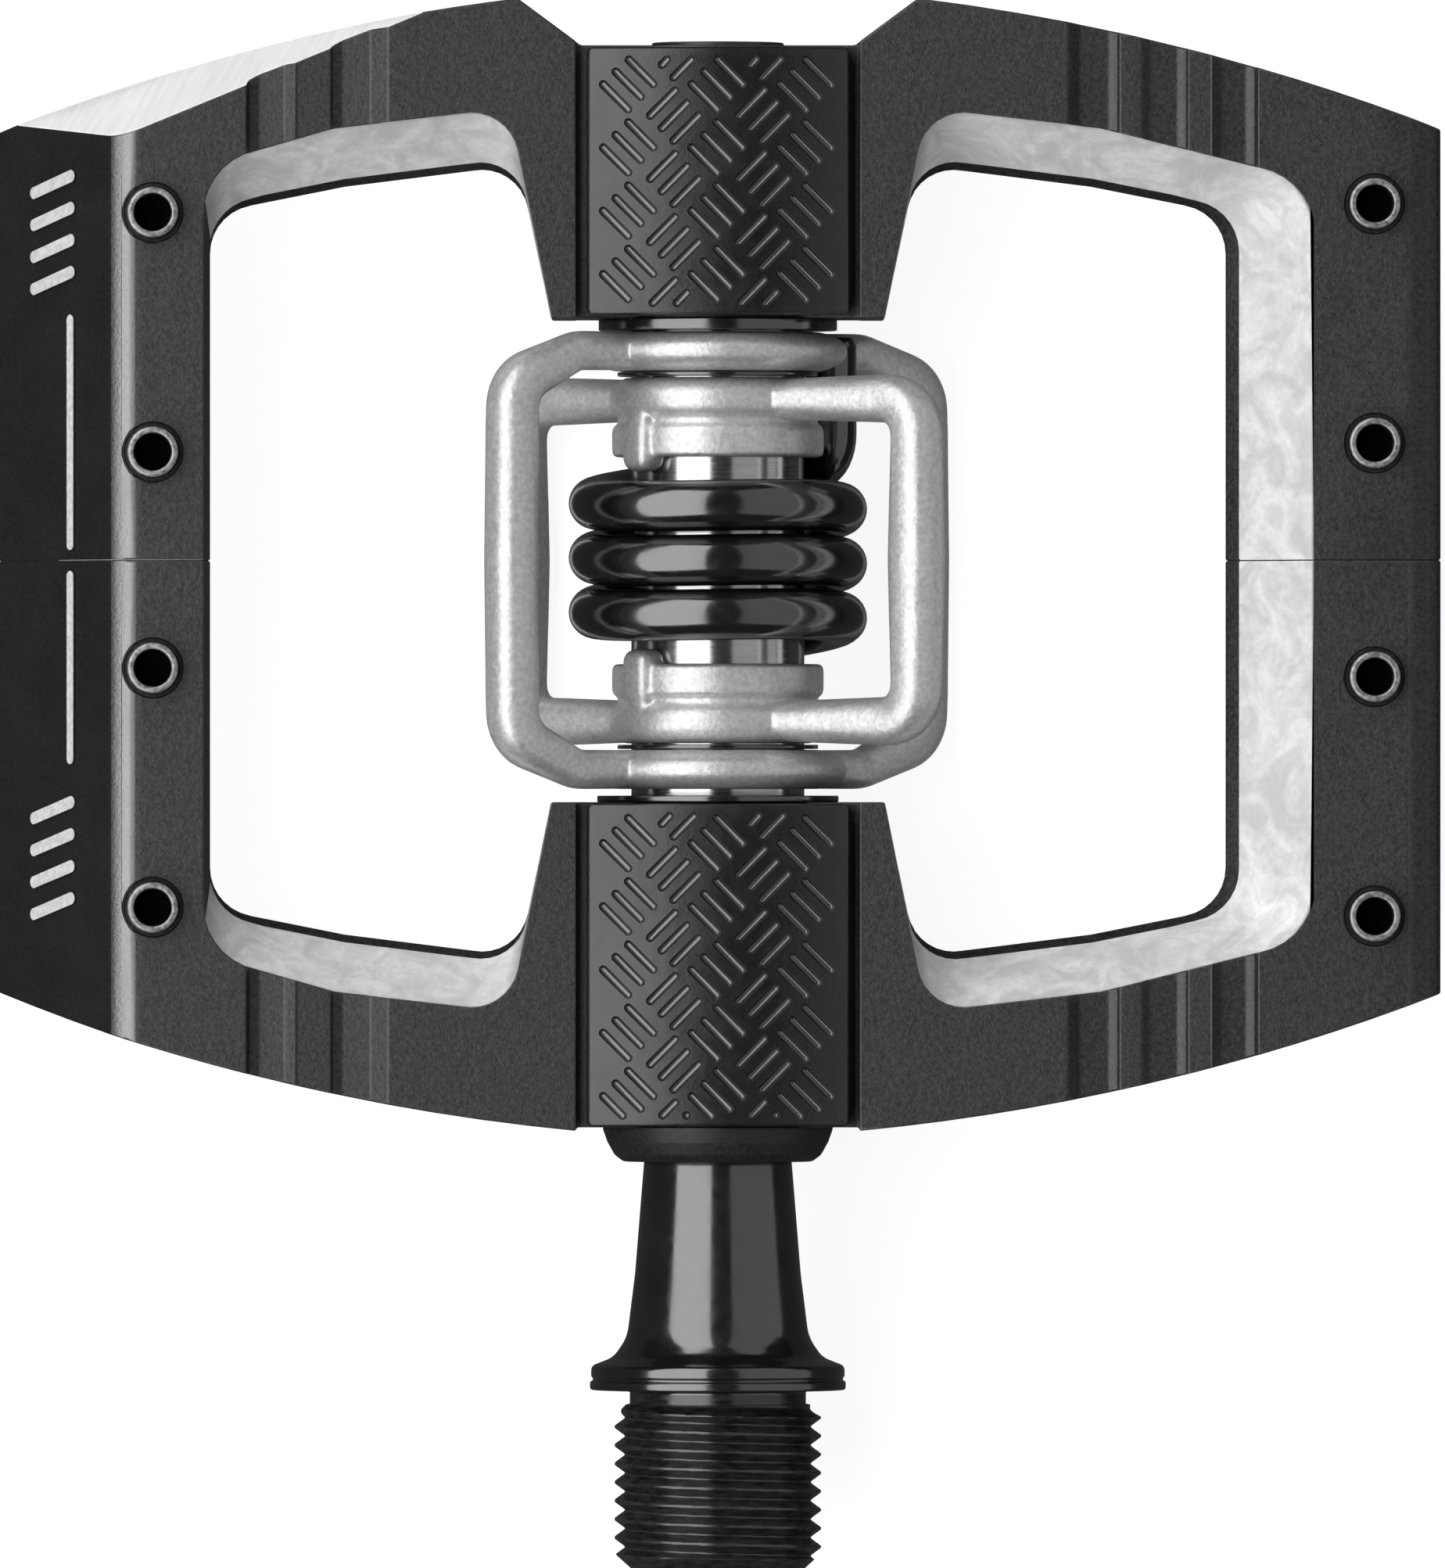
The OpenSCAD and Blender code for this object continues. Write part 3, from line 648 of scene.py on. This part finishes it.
# ---- Pins and bolts ----

PIN_TOP = extent("pins_top")[1].z
PIN_FOOT = extent("pins_top")[0].z
PIN_R = 1.75
PIN_HOLLOW_R = 1.3
PIN_PLACES = [(x, side * (y + shift)) for side in (-1, 1) for y in (7.4, 23.8)
              for x, shift in ((-38.7, 0), (45, 0.6))]


def is_in_hollow(p):
    """True inside the hollow of a pin."""
    from_axis = min(math.hypot(abs(p.x) - abs(x), p.y - y) for x, y in PIN_PLACES)
    return from_axis < PIN_HOLLOW_R + 0.02 and PIN_TOP - 3.05 < abs(p.z) < PIN_TOP - 0.15


def pins(node, turn):
    """Eight hollow screw-in pins with a rounded rim."""
    outline = rounded(
        [(0, PIN_FOOT), (PIN_R, PIN_FOOT), (PIN_R, PIN_TOP), (PIN_HOLLOW_R, PIN_TOP),
         (PIN_HOLLOW_R - 0.12, PIN_TOP - 3), (0, PIN_TOP - 3)], [0, 0.1, 0.2, 0.13, 0.2, 0], closed=False)
    bm = bmesh.new()
    for x, y in PIN_PLACES:
        place = turn @ Matrix.Translation((x, y, 0)) @ Matrix.Rotation(math.pi / 2, 4, "X")
        lathe(bm, outline, place, sides=48, closed=False)
    for face in bm.faces:
        # The hollow takes the painted-shade black; the rim top takes the lighter steel, partly wear and partly
        # painted highlight.
        if all(is_in_hollow(v.co) for v in face.verts):
            face.material_index = 1
        elif abs(face.calc_center_median().z) > PIN_TOP - 0.12:
            face.material_index = 2
    obj = finished(node + "_steel", bm, [PIN, PIN_HOLLOW, PIN_RIM_WEAR_AND_HIGHLIGHT])
    stand_for(obj, "platform", "black_steel", node)


def hexagon_radius(r, a):
    """Distance from the middle of a hexagon, whose corners lie at r, to its edge at an angle."""
    return r * math.cos(math.pi / 6) / math.cos(a % (TURN / 6) - math.pi / 6)


def hexagon_socket(bm, radius, face, floor, outer, place):
    """Round flat face with a six-sided socket in it, both given by their places along the axis."""
    rings = []
    inward = math.copysign(1, floor - face)
    for r, y, is_round in ((outer, face, True), (radius + 0.12, face, False),
                           (radius, face + inward * 0.12, False), (radius, floor, False)):
        ring = []
        for k in range(48):
            a = TURN * k / 48
            edge = r if is_round else hexagon_radius(r, a + math.pi / 6)
            ring.append(place @ Vector((edge * math.cos(a), y, edge * math.sin(a))))
        rings.append(ring)
    rings.append([place @ Vector((0, floor + inward * 0.5, 0))])
    skin(bm, rings, capped=False)


def cage_bolts():
    """Two long socket-head bolts that hold the cage halves together."""
    low, high = extent("cage_bolts")
    head_r = high.z
    bolt_x = high.x - head_r
    bm = bmesh.new()
    for x in (-bolt_x, bolt_x):
        place = Matrix.Translation((x, 0, 0))
        outline = rounded([(0, high.y), (1.45, high.y), (1.45, low.y + 3), (head_r, low.y + 3), (head_r, low.y),
                           (1.9, low.y)], [0, 0.3, 0.05, 0.15, 0.3, 0], closed=False)
        lathe(bm, outline, place, sides=48, closed=False)
        hexagon_socket(bm, 1.44, low.y, low.y + 1.6, 1.9, place)
    bmesh.ops.remove_doubles(bm, verts=bm.verts, dist=0.001)
    obj = finished("cage_bolts_steel", bm, BOLT, 30)
    stand_for(obj, "platform", "black_steel", "cage_bolts")


# ---- Hub: sleeve, shims, seal cup, end cap ----


def hub_parts():
    """Polished sleeve, the thin washers, the seal cup and the end cap."""
    bore_r = 4.6
    sleeve = turned_piece("hub_sleeve_polished", [(bore_r, -SLEEVE_END), (SLEEVE_R, -SLEEVE_END),
                                                  (SLEEVE_R, SLEEVE_END), (bore_r, SLEEVE_END)], 0.15, POLISHED)
    stand_for(sleeve, "platform", "polished_stainless", "hub_sleeve")
    for node in ("shim_outboard", "shim_inboard", "wing_washer_outboard", "wing_washer_inboard"):
        low, high = extent(node)
        shim = turned_piece(node + "_steel", [(SLEEVE_R + 0.05, low.y), (high.x, low.y), (high.x, high.y),
                                              (SLEEVE_R + 0.05, high.y)], 0.1, SPRING_BLACK)
        stand_for(shim, "platform", "black_steel", node)
    low, high = extent("seal_cup")
    end, flange = low.y, -38.9
    cup = turned_piece("seal_cup_rubber", [
        (5.15, end + 0.25), (5.4, end), (6.5, end), (7.1, end + 0.45), (7.6, end + 1.35), (high.x, end + 2.2),
        (high.x, flange), (6.2, flange), (6.2, high.y), (5.15, high.y)],
        [0.1, 0.15, 0.5, 0.9, 0.9, 0.1, 0.02, 0.02, 0.1, 0.1], SEAL)
    stand_for(cup, "platform", "seal_rubber", "seal_cup")
    low, high = extent("end_cap")
    face = high.y - 0.4
    cap = turned_piece("end_cap_moulding", [
        (0, low.y), (high.x, low.y), (high.x, low.y + 0.7), (5.5, low.y + 0.7), (5.5, low.y + 1.7),
        (high.x, low.y + 1.7), (high.x, face), (5.3, face), (5.1, face - 0.25), (4.7, face - 0.25), (4.5, high.y),
        (1.6, high.y), (1.45, high.y - 0.5), (0, high.y - 0.5)], 0.12, CAP, closed=False)
    stand_for(cap, "platform", "cap_plastic", "end_cap")


# ---- Wings ----

OUTER_X, INNER_X, BAR_Z = 14.05, 13.65, 10.5
OUTER_RING_R, INNER_RING_R, COLLAR_R = 8.9, 7.5, 7.28
BORE_R = SLEEVE_R + 0.12
OUTER_RING_Y, INNER_RING_Y = (13.0, 15.7), (9.5, 12.6)
COLLAR_Y = (7.1, 9.3)
NECK_R = 6.8
LUG_ROOT_Y = 10.4
FRONT_LUG_ANGLE, FRONT_LUG_R, FRONT_LUG_Y, FRONT_LUG_HALF = 140, 7.85, 6.05, 1.35
REAR_LUG_ANGLE, REAR_LUG_R, REAR_LUG_Y, REAR_LUG_HALF = -49, 9.6, 7.1, 1.2
VOXEL = 0.15


def bar_and_arms(bm, x, z, half_path, sizes, power=2.4):
    """One bar with an arm at each end, swept in the plane that holds the spindle and the bar.

    half_path goes from the middle of the bar to the ring, as distance from the spindle and place along it.
    sizes are the half width in that plane and across it, for each point of half_path.
    """
    outward = Vector((x, 0, z)).normalized()
    along = Vector((0, 1, 0))
    across = outward.cross(along)
    radii = [0.0] + [2.6] * (len(half_path) - 2) + [0.0]
    path = rounded(half_path, radii, steps=10, closed=False)
    lengths = [0.0]
    for a, b in zip(path, path[1:]):
        lengths.append(lengths[-1] + (b - a).length)
    knots = [0.0]
    for a, b in zip(half_path, half_path[1:]):
        knots.append(knots[-1] + (Vector(b) - Vector(a)).length)
    knots = [k * lengths[-1] / knots[-1] for k in knots]

    def size_at(s):
        for (k0, k1), (s0, s1) in zip(zip(knots, knots[1:]), zip(sizes, sizes[1:])):
            if s <= k1:
                t = max(0.0, (s - k0) / (k1 - k0))
                t = t * t * (3 - 2 * t)
                return s0[0] + (s1[0] - s0[0]) * t, s0[1] + (s1[1] - s0[1]) * t
        return sizes[-1]

    half = []
    for i, point in enumerate(path):
        ahead = path[min(i + 1, len(path) - 1)] - path[max(i - 1, 0)]
        side = Vector((-ahead.y, ahead.x)).normalized()
        half.append((point, side, size_at(lengths[i])))
    whole = [(Vector((p.x, -p.y)), Vector((s.x, -s.y)), size) for p, s, size in reversed(half[1:])] + half
    rings = []
    for point, side, (a, b) in whole:
        centre = outward * point.x + along * point.y
        normal = outward * side.x + along * side.y
        rings.append([centre + normal * u + across * v for u, v in superellipse(a, b, power)])
    skin(bm, rings)


def wing_ring(bm, y, r):
    """One ring of a wing, barrel-shaped outside, at both ends of the wing."""
    middle, half = sum(y) / 2, (y[1] - y[0]) / 2
    drop = min(1.8, 0.85 * (r - BORE_R))
    across = [math.sin(math.pi * k / 24) for k in range(-12, 13)]
    barrel = [(r - drop * abs(t) ** 2.6, middle + half * t) for t in across]
    for side in (-1, 1):
        outline = [(BORE_R, y[0])] + barrel + [(BORE_R, y[1])]
        lathe(bm, [(radius, side * along) for radius, along in outline], sides=96)


def lug(bm, angle, r, half_wide, from_y, to_y):
    """A rounded finger along the spindle for an end of the spring, fading into the ring at its root."""
    outward = Vector((math.cos(math.radians(angle)), 0, math.sin(math.radians(angle))))
    across = outward.cross(Vector((0, 1, 0)))
    way = math.copysign(1, to_y - from_y)
    rings = []
    for inset, size in ((0, 0.35), (0.12, 0.68), (0.35, 0.88), (0.75, 1.0)):
        rings.append((from_y + way * inset, size))
    rings += [(to_y - way * 1.5, 1.0), (to_y, 0.55)]
    skin(bm, [[outward * (r - 1.2 + u * size) + across * (v * size) + Vector((0, y, 0))
               for u, v in superellipse(1.2, half_wide, 3.2)] for y, size in rings])


def cast(bm, name):
    """Melts the overlapping shells into the one skin of a casting."""
    obj = finished(name, bm, STAINLESS)
    melt = obj.modifiers.new("melt", "REMESH")
    melt.mode = "VOXEL"
    melt.voxel_size = VOXEL * MM
    soften = obj.modifiers.new("soften", "SMOOTH")
    soften.factor = 0.5
    soften.iterations = 24
    settle(obj, 180)
    return obj


def outer_wing():
    """The wing whose rings lie outside the other's, with its bars front above and back below."""
    reach = math.hypot(OUTER_X, BAR_Z)
    ring_y = sum(OUTER_RING_Y) / 2
    path = [(reach, 0), (reach, 12.1), (12.2, ring_y), (7.4, ring_y)]
    sizes = [(1.86, 1.86), (1.72, 1.78), (1.36, 1.5), (1.34, 1.45)]
    bm = bmesh.new()
    for x, z in ((-OUTER_X, BAR_Z), (OUTER_X, -BAR_Z)):
        bar_and_arms(bm, x, z, path, sizes)
    wing_ring(bm, OUTER_RING_Y, OUTER_RING_R)
    stand_for(cast(bm, "outer_wing_casting"), "outer_wing", "cast_stainless", "outer_wing")


def inner_wing():
    """The wing inside it, with collars and lugs for the spring."""
    reach = math.hypot(INNER_X, BAR_Z)
    ring_y = sum(INNER_RING_Y) / 2
    path = [(reach, 0), (reach, ring_y), (6.6, ring_y)]
    sizes = [(1.95, 1.95), (1.7, 1.8), (1.42, 3.0)]
    bm = bmesh.new()
    for x, z in ((INNER_X, BAR_Z), (-INNER_X, -BAR_Z)):
        bar_and_arms(bm, x, z, path, sizes)
    wing_ring(bm, INNER_RING_Y, INNER_RING_R)
    for side in (-1, 1):
        outline = [(BORE_R, side * COLLAR_Y[0]), (COLLAR_R, side * COLLAR_Y[0]), (COLLAR_R, side * COLLAR_Y[1]),
                   (NECK_R, side * COLLAR_Y[1]), (NECK_R, side * 10.2), (BORE_R, side * 10.2)]
        lathe(bm, rounded(outline, [0.15, 0.22, 0.3, 0.1, 0.1, 0.1]), sides=96)
        lug(bm, FRONT_LUG_ANGLE, FRONT_LUG_R, FRONT_LUG_HALF, side * FRONT_LUG_Y, side * LUG_ROOT_Y)
    lug(bm, REAR_LUG_ANGLE, REAR_LUG_R, REAR_LUG_HALF, -REAR_LUG_Y, -LUG_ROOT_Y)
    stand_for(cast(bm, "inner_wing_casting"), "inner_wing", "cast_stainless", "inner_wing")


# ---- Spring ----

WIRE_R, COIL_R, COIL_PITCH, COIL_SWAY = 1.76, 8.5, 3.75, 0.73
LEG_R, LEG_BEND, LEG_BLEND = 9.3, 2.2, 60
LOW_LEG, HIGH_LEG = -68.5, -33 + 1080
LOW_LEG_Y, HIGH_LEG_Y = -9.2, 15.4


def coil_point(a):
    """Middle of the wire at an angle about the spindle in degrees, 90 being the upper face."""
    near_end = 1 - min(a - LOW_LEG, HIGH_LEG - a) / LEG_BLEND
    r = COIL_R + (LEG_R - COIL_R) * max(0, near_end)
    turn = math.radians(a)
    along = COIL_PITCH * (a - 450) / 360 + COIL_SWAY * math.cos(turn)
    return Vector((r * math.cos(turn), along, r * math.sin(turn)))


def spring_path():
    """The wire's middle line from the inboard leg through the coils to the outboard leg."""
    bend_turn = math.degrees(LEG_BEND / LEG_R)

    def bend(a, way):
        points = []
        for u in range(10, 91, 10):
            turn = math.radians(a) + way * LEG_BEND * math.sin(math.radians(u)) / LEG_R
            y = coil_point(a).y + way * LEG_BEND * (1 - math.cos(math.radians(u)))
            points.append(Vector((LEG_R * math.cos(turn), y, LEG_R * math.sin(turn))))
        return points

    def leg(a, y):
        turn = math.radians(a)
        return Vector((LEG_R * math.cos(turn), y, LEG_R * math.sin(turn)))

    start, end = LOW_LEG + bend_turn, HIGH_LEG - bend_turn
    count = 800
    coil = [coil_point(start + (end - start) * i / count) for i in range(count + 1)]
    low_y, high_y = bend(start, -1)[-1].y, bend(end, 1)[-1].y
    low = [leg(LOW_LEG, LOW_LEG_Y + (low_y - LOW_LEG_Y) * k / 12) for k in range(12)]
    high = [leg(HIGH_LEG, high_y + (HIGH_LEG_Y - high_y) * k / 12) for k in range(1, 13)]
    return low + bend(start, -1)[::-1] + coil + bend(end, 1) + high


def spring_half(name, rings):
    """One half of the wire, from the middle coil outwards."""
    bm = bmesh.new()
    skin(bm, rings)
    obj = finished(name, bm, SPRING_BLACK, 50)
    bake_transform(obj)
    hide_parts("wing_spring")


def spring():
    """Round wire with slightly tapered ends, cut in the middle coil into two halves."""
    points = spring_path()
    rings = []
    for i, point in enumerate(points):
        ahead = (points[min(i + 1, len(points) - 1)] - points[max(i - 1, 0)]).normalized()
        side = ahead.cross(Vector((point.x, 0, point.z))).normalized()
        other = ahead.cross(side)
        r = WIRE_R - (0.3 if i in (0, len(points) - 1) else 0)
        rings.append([point + r * (math.cos(TURN * k / 32) * side + math.sin(TURN * k / 32) * other)
                      for k in range(32)])

    def away_from_cut(i):
        return abs(points[i].y) + (abs(points[i].x) > 1) + (points[i].z < 0)

    middle = min(range(len(points)), key=away_from_cut)
    spring_half("spring_inboard_half", rings[:middle + 1])
    spring_half("spring_outboard_half", rings[middle:])


# ---- Spindle ----

THREAD_R, THREAD_DEPTH, PITCH = 7.1, 0.69, 1.27
THREAD_START, THREAD_END = -1.3, -12.7
KEY_WIDTH, KEY_DEPTH = 8.0, 9.0
SPINDLE_SIDES = 240


def thread_radius(y, turn):
    """Radius of the left-hand thread at a distance below the shoulder and a share of a turn."""
    root = THREAD_R - THREAD_DEPTH
    phase = (y + 1.9) / PITCH - turn
    from_crest = abs(phase - round(phase)) * PITCH
    flat = PITCH / 16
    height = THREAD_DEPTH * (1 - max(0, from_crest - flat) / (PITCH / 2 - 1.6 * flat))
    start = min(1, max(0, (THREAD_START + 0.35 - y) / 0.9))
    chamfer = root - 0.9 + (y - THREAD_END) * 1.1
    return min(root - 0.1 * (1 - start) + max(0, height) * start, max(root - 0.9, chamfer))


def spindle():
    """One piece from the threaded end over the shoulder to the bearing seat."""
    root = THREAD_R - THREAD_DEPTH
    tip = extent("spindle")[1].y - SHOULDER
    body = rounded([
        (root - 0.35, -0.95), (root - 0.35, 0.0), (8.8, 0.0), (8.8, 0.55), (8.55, 0.72), (8.72, 0.95),
        (8.72, 1.65), (7.2, 2.25), (6.25, 3.6), (5.7, 8), (5.08, 15.7), (4.9, 16), (4.9, 31.4), (4.2, 32),
        (4.2, 80.5), (3, 80.5), (3, 85.5), (2.5, 85.5), (2.5, tip), (0, tip)],
        [0, 0.25, 0.18, 0.15, 0.12, 0.12, 0.45, 1.6, 3.0, 20, 0.2, 0.2, 0.2, 0.2, 0.1, 0.1, 0.1, 0.1, 0.2, 0],
        steps=8, closed=False)
    key_r = KEY_WIDTH / 2 / math.cos(math.pi / 6)
    bm = bmesh.new()
    rings = []

    def ring(radius, y):
        points = []
        for k in range(SPINDLE_SIDES):
            a = TURN * k / SPINDLE_SIDES
            r = radius(y, k / SPINDLE_SIDES, a)
            points.append((r * math.cos(a), SHOULDER + y, r * math.sin(a)))
        rings.append(points)

    def hexagon(r):
        return lambda y, turn, a: hexagon_radius(r, a)

    ring(lambda y, turn, a: 0.4, THREAD_END + KEY_DEPTH + 0.8)
    ring(hexagon(key_r - 0.6), THREAD_END + KEY_DEPTH + 0.1)
    ring(hexagon(key_r), THREAD_END + KEY_DEPTH - 0.3)
    ring(hexagon(key_r), THREAD_END + 0.4)
    ring(lambda y, turn, a: key_r + 0.1, THREAD_END + 0.02)
    ring(lambda y, turn, a: root - 1.0, THREAD_END)
    steps = 190
    for i in range(steps + 1):
        y = THREAD_END + 0.02 + (-1.0 - THREAD_END - 0.02) * i / steps
        ring(lambda y, turn, a: thread_radius(y, turn), y)
    for r, y in body:
        ring(lambda y, turn, a: max(r, 0.05), y)
    skin(bm, rings)
    obj = finished("spindle_coated", bm, [SPINDLE_BLACK, THREAD_BLACK], 40)
    for face in obj.data.polygons:
        face.material_index = 1 if face.center.y < -0.3 * MM else 0
    stand_for(obj, "spindle_assembly", "black_steel", "spindle")


# ---- Print on the slanted panels ----

STRIPES = [(16.5, 1.1), (-1.1, -13.6)]
STRIPE_DOWN = 6.0
SLANTED_BARS = [26.4, 24.2, 22, 19.8, -16.6, -18.8, -21, -23.2]
PANEL_NORMAL = Vector((-12, 0, 8.6)).normalized()
PANEL_DOWN = Vector((-8.6, 0, -12)).normalized()


def mark(bm, start, end, half_wide):
    """A round-ended bar on the front panel; its ends are places along the spindle and down the panel."""
    top = Vector((-41, 0, HALF_THICK))
    start, end = Vector(start), Vector(end)
    along = (end - start).normalized()
    turn = math.atan2(along.y, along.x)
    rings = []
    for lift in (-0.05, 0.02):
        ring = []
        for k in range(24):
            a = turn + math.pi / 2 + TURN * k / 24
            point = (start if k <= 12 else end) + half_wide * Vector((math.cos(a), math.sin(a)))
            ring.append(top + PANEL_DOWN * point.y + PANEL_NORMAL * lift + Vector((0, point.x, 0)))
        rings.append(ring)
    skin(bm, rings)


def panel_print():
    """Two stripes and two rows of slanted bars on each slanted end panel."""
    paint = stripe_paint()
    for name, turn in (("front_panel_print", Matrix.Identity(4)), ("rear_panel_print", HALF_TURN)):
        bm = bmesh.new()
        for from_y, to_y in STRIPES:
            mark(bm, (from_y, STRIPE_DOWN), (to_y, STRIPE_DOWN), 0.38)
        for y in SLANTED_BARS:
            mark(bm, (y, STRIPE_DOWN - 0.1), (y - 1.1, STRIPE_DOWN + 4.4), 0.42)
        bmesh.ops.transform(bm, matrix=turn, verts=bm.verts)
        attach(finished(name, bm, paint), "platform")


# ---- What the CAD shows itself ----


def keep_cad(material, slot, *nodes):
    """CAD nodes that stay as they are, with a finish."""
    for node in nodes:
        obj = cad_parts[node]
        obj.data.materials.clear()
        obj.data.materials.append(material)


# ---- Stage ----


SOFTBOX_DISTANCE, SOFTBOX_LENGTH, SOFTBOX_SHIFT = 0.7, 2.4, 0.5


def softbox(name, middle_angle, half_angle, radiance):
    """A softbox beside the camera, by its angles from straight above; positive is to the right.

    It is long along the spindle, and its middle is shifted outboard.
    """
    a = math.radians(middle_angle)
    target = Vector((0, MIDDLE * MM + SOFTBOX_SHIFT, 0))
    away = SOFTBOX_DISTANCE * Vector((math.sin(a), 0, math.cos(a)))
    light = bpy.data.lights.new(name, "AREA")
    light.shape = "RECTANGLE"
    light.size = SOFTBOX_LENGTH
    light.size_y = 2 * SOFTBOX_DISTANCE * math.tan(math.radians(half_angle))
    light.energy = radiance * math.pi * light.size * light.size_y
    obj = bpy.data.objects.new(name, light)
    obj.location = target + away
    obj.rotation_euler = (-away).to_track_quat("-Z", "Y").to_euler()
    obj.visible_camera = False
    bpy.context.scene.collection.objects.link(obj)


def stage():
    """White backdrop seen only by the camera, dim surroundings, two softboxes and the floor."""
    world = bpy.data.worlds.new("studio")
    bpy.context.scene.world = world
    world.use_nodes = True
    tree = world.node_tree
    tree.nodes.clear()
    seen = tree.nodes.new("ShaderNodeBackground")
    seen.inputs["Color"].default_value = grey(1.0)
    around = tree.nodes.new("ShaderNodeBackground")
    around.inputs["Color"].default_value = grey(0.05)
    path = tree.nodes.new("ShaderNodeLightPath")
    mix = tree.nodes.new("ShaderNodeMixShader")
    out = tree.nodes.new("ShaderNodeOutputWorld")
    tree.links.new(path.outputs["Is Camera Ray"], mix.inputs["Fac"])
    tree.links.new(around.outputs["Background"], mix.inputs[1])
    tree.links.new(seen.outputs["Background"], mix.inputs[2])
    tree.links.new(mix.outputs["Shader"], out.inputs["Surface"])

    softbox("left_softbox", -38, 28, 2.8)
    softbox("right_softbox", 56, 37, 0.45)

    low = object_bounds()[0].z
    bm = bmesh.new()
    bmesh.ops.create_grid(bm, x_segments=8, y_segments=8, size=20)
    mesh = bpy.data.meshes.new("floor")
    bm.to_mesh(mesh)
    bm.free()
    mesh.materials.append(floor_paint())
    floor = bpy.data.objects.new("floor", mesh)
    floor.location.z = low - 0.0002
    floor.visible_glossy = False
    bpy.context.scene.collection.objects.link(floor)
    floor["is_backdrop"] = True


def camera():
    """Straight above the platform, as far as a long lens stands."""
    distance, view_height = 2.0, 107.8 * MM
    data = bpy.data.cameras.new("camera")
    data.sensor_width = 36
    data.lens = data.sensor_width * distance / view_height
    data.clip_end = 20
    obj = bpy.data.objects.new("camera", data)
    obj.location = (0.32 * MM, (MIDDLE - 15.35) * MM, distance)
    bpy.context.scene.collection.objects.link(obj)
    bpy.context.scene.camera = obj


# ---- Assembly ----

cage_half("cage_outboard")
cage_half("cage_inboard")
for place in ("top_outboard", "top_inboard", "bottom_outboard", "bottom_inboard"):
    pad("pad_" + place)
pins("pins_top", Matrix.Identity(4))
pins("pins_bottom", HALF_TURN)
cage_bolts()
hub_parts()
outer_wing()
inner_wing()
spring()
spindle()
panel_print()
keep_cad(BEARING, "bearing_steel", "spindle_nut", "bearing_inner_race", "bearing_outer_race", "bearing_balls",
         "bearing_shields")
keep_cad(BUSHING, "bushing_polymer", "glide_bushing", "ball_cage")
keep_cad(SEAL, "seal_rubber", "inboard_seal", "end_cap_ring")
stage()
camera()
bpy.context.scene.view_settings.view_transform = "Standard"
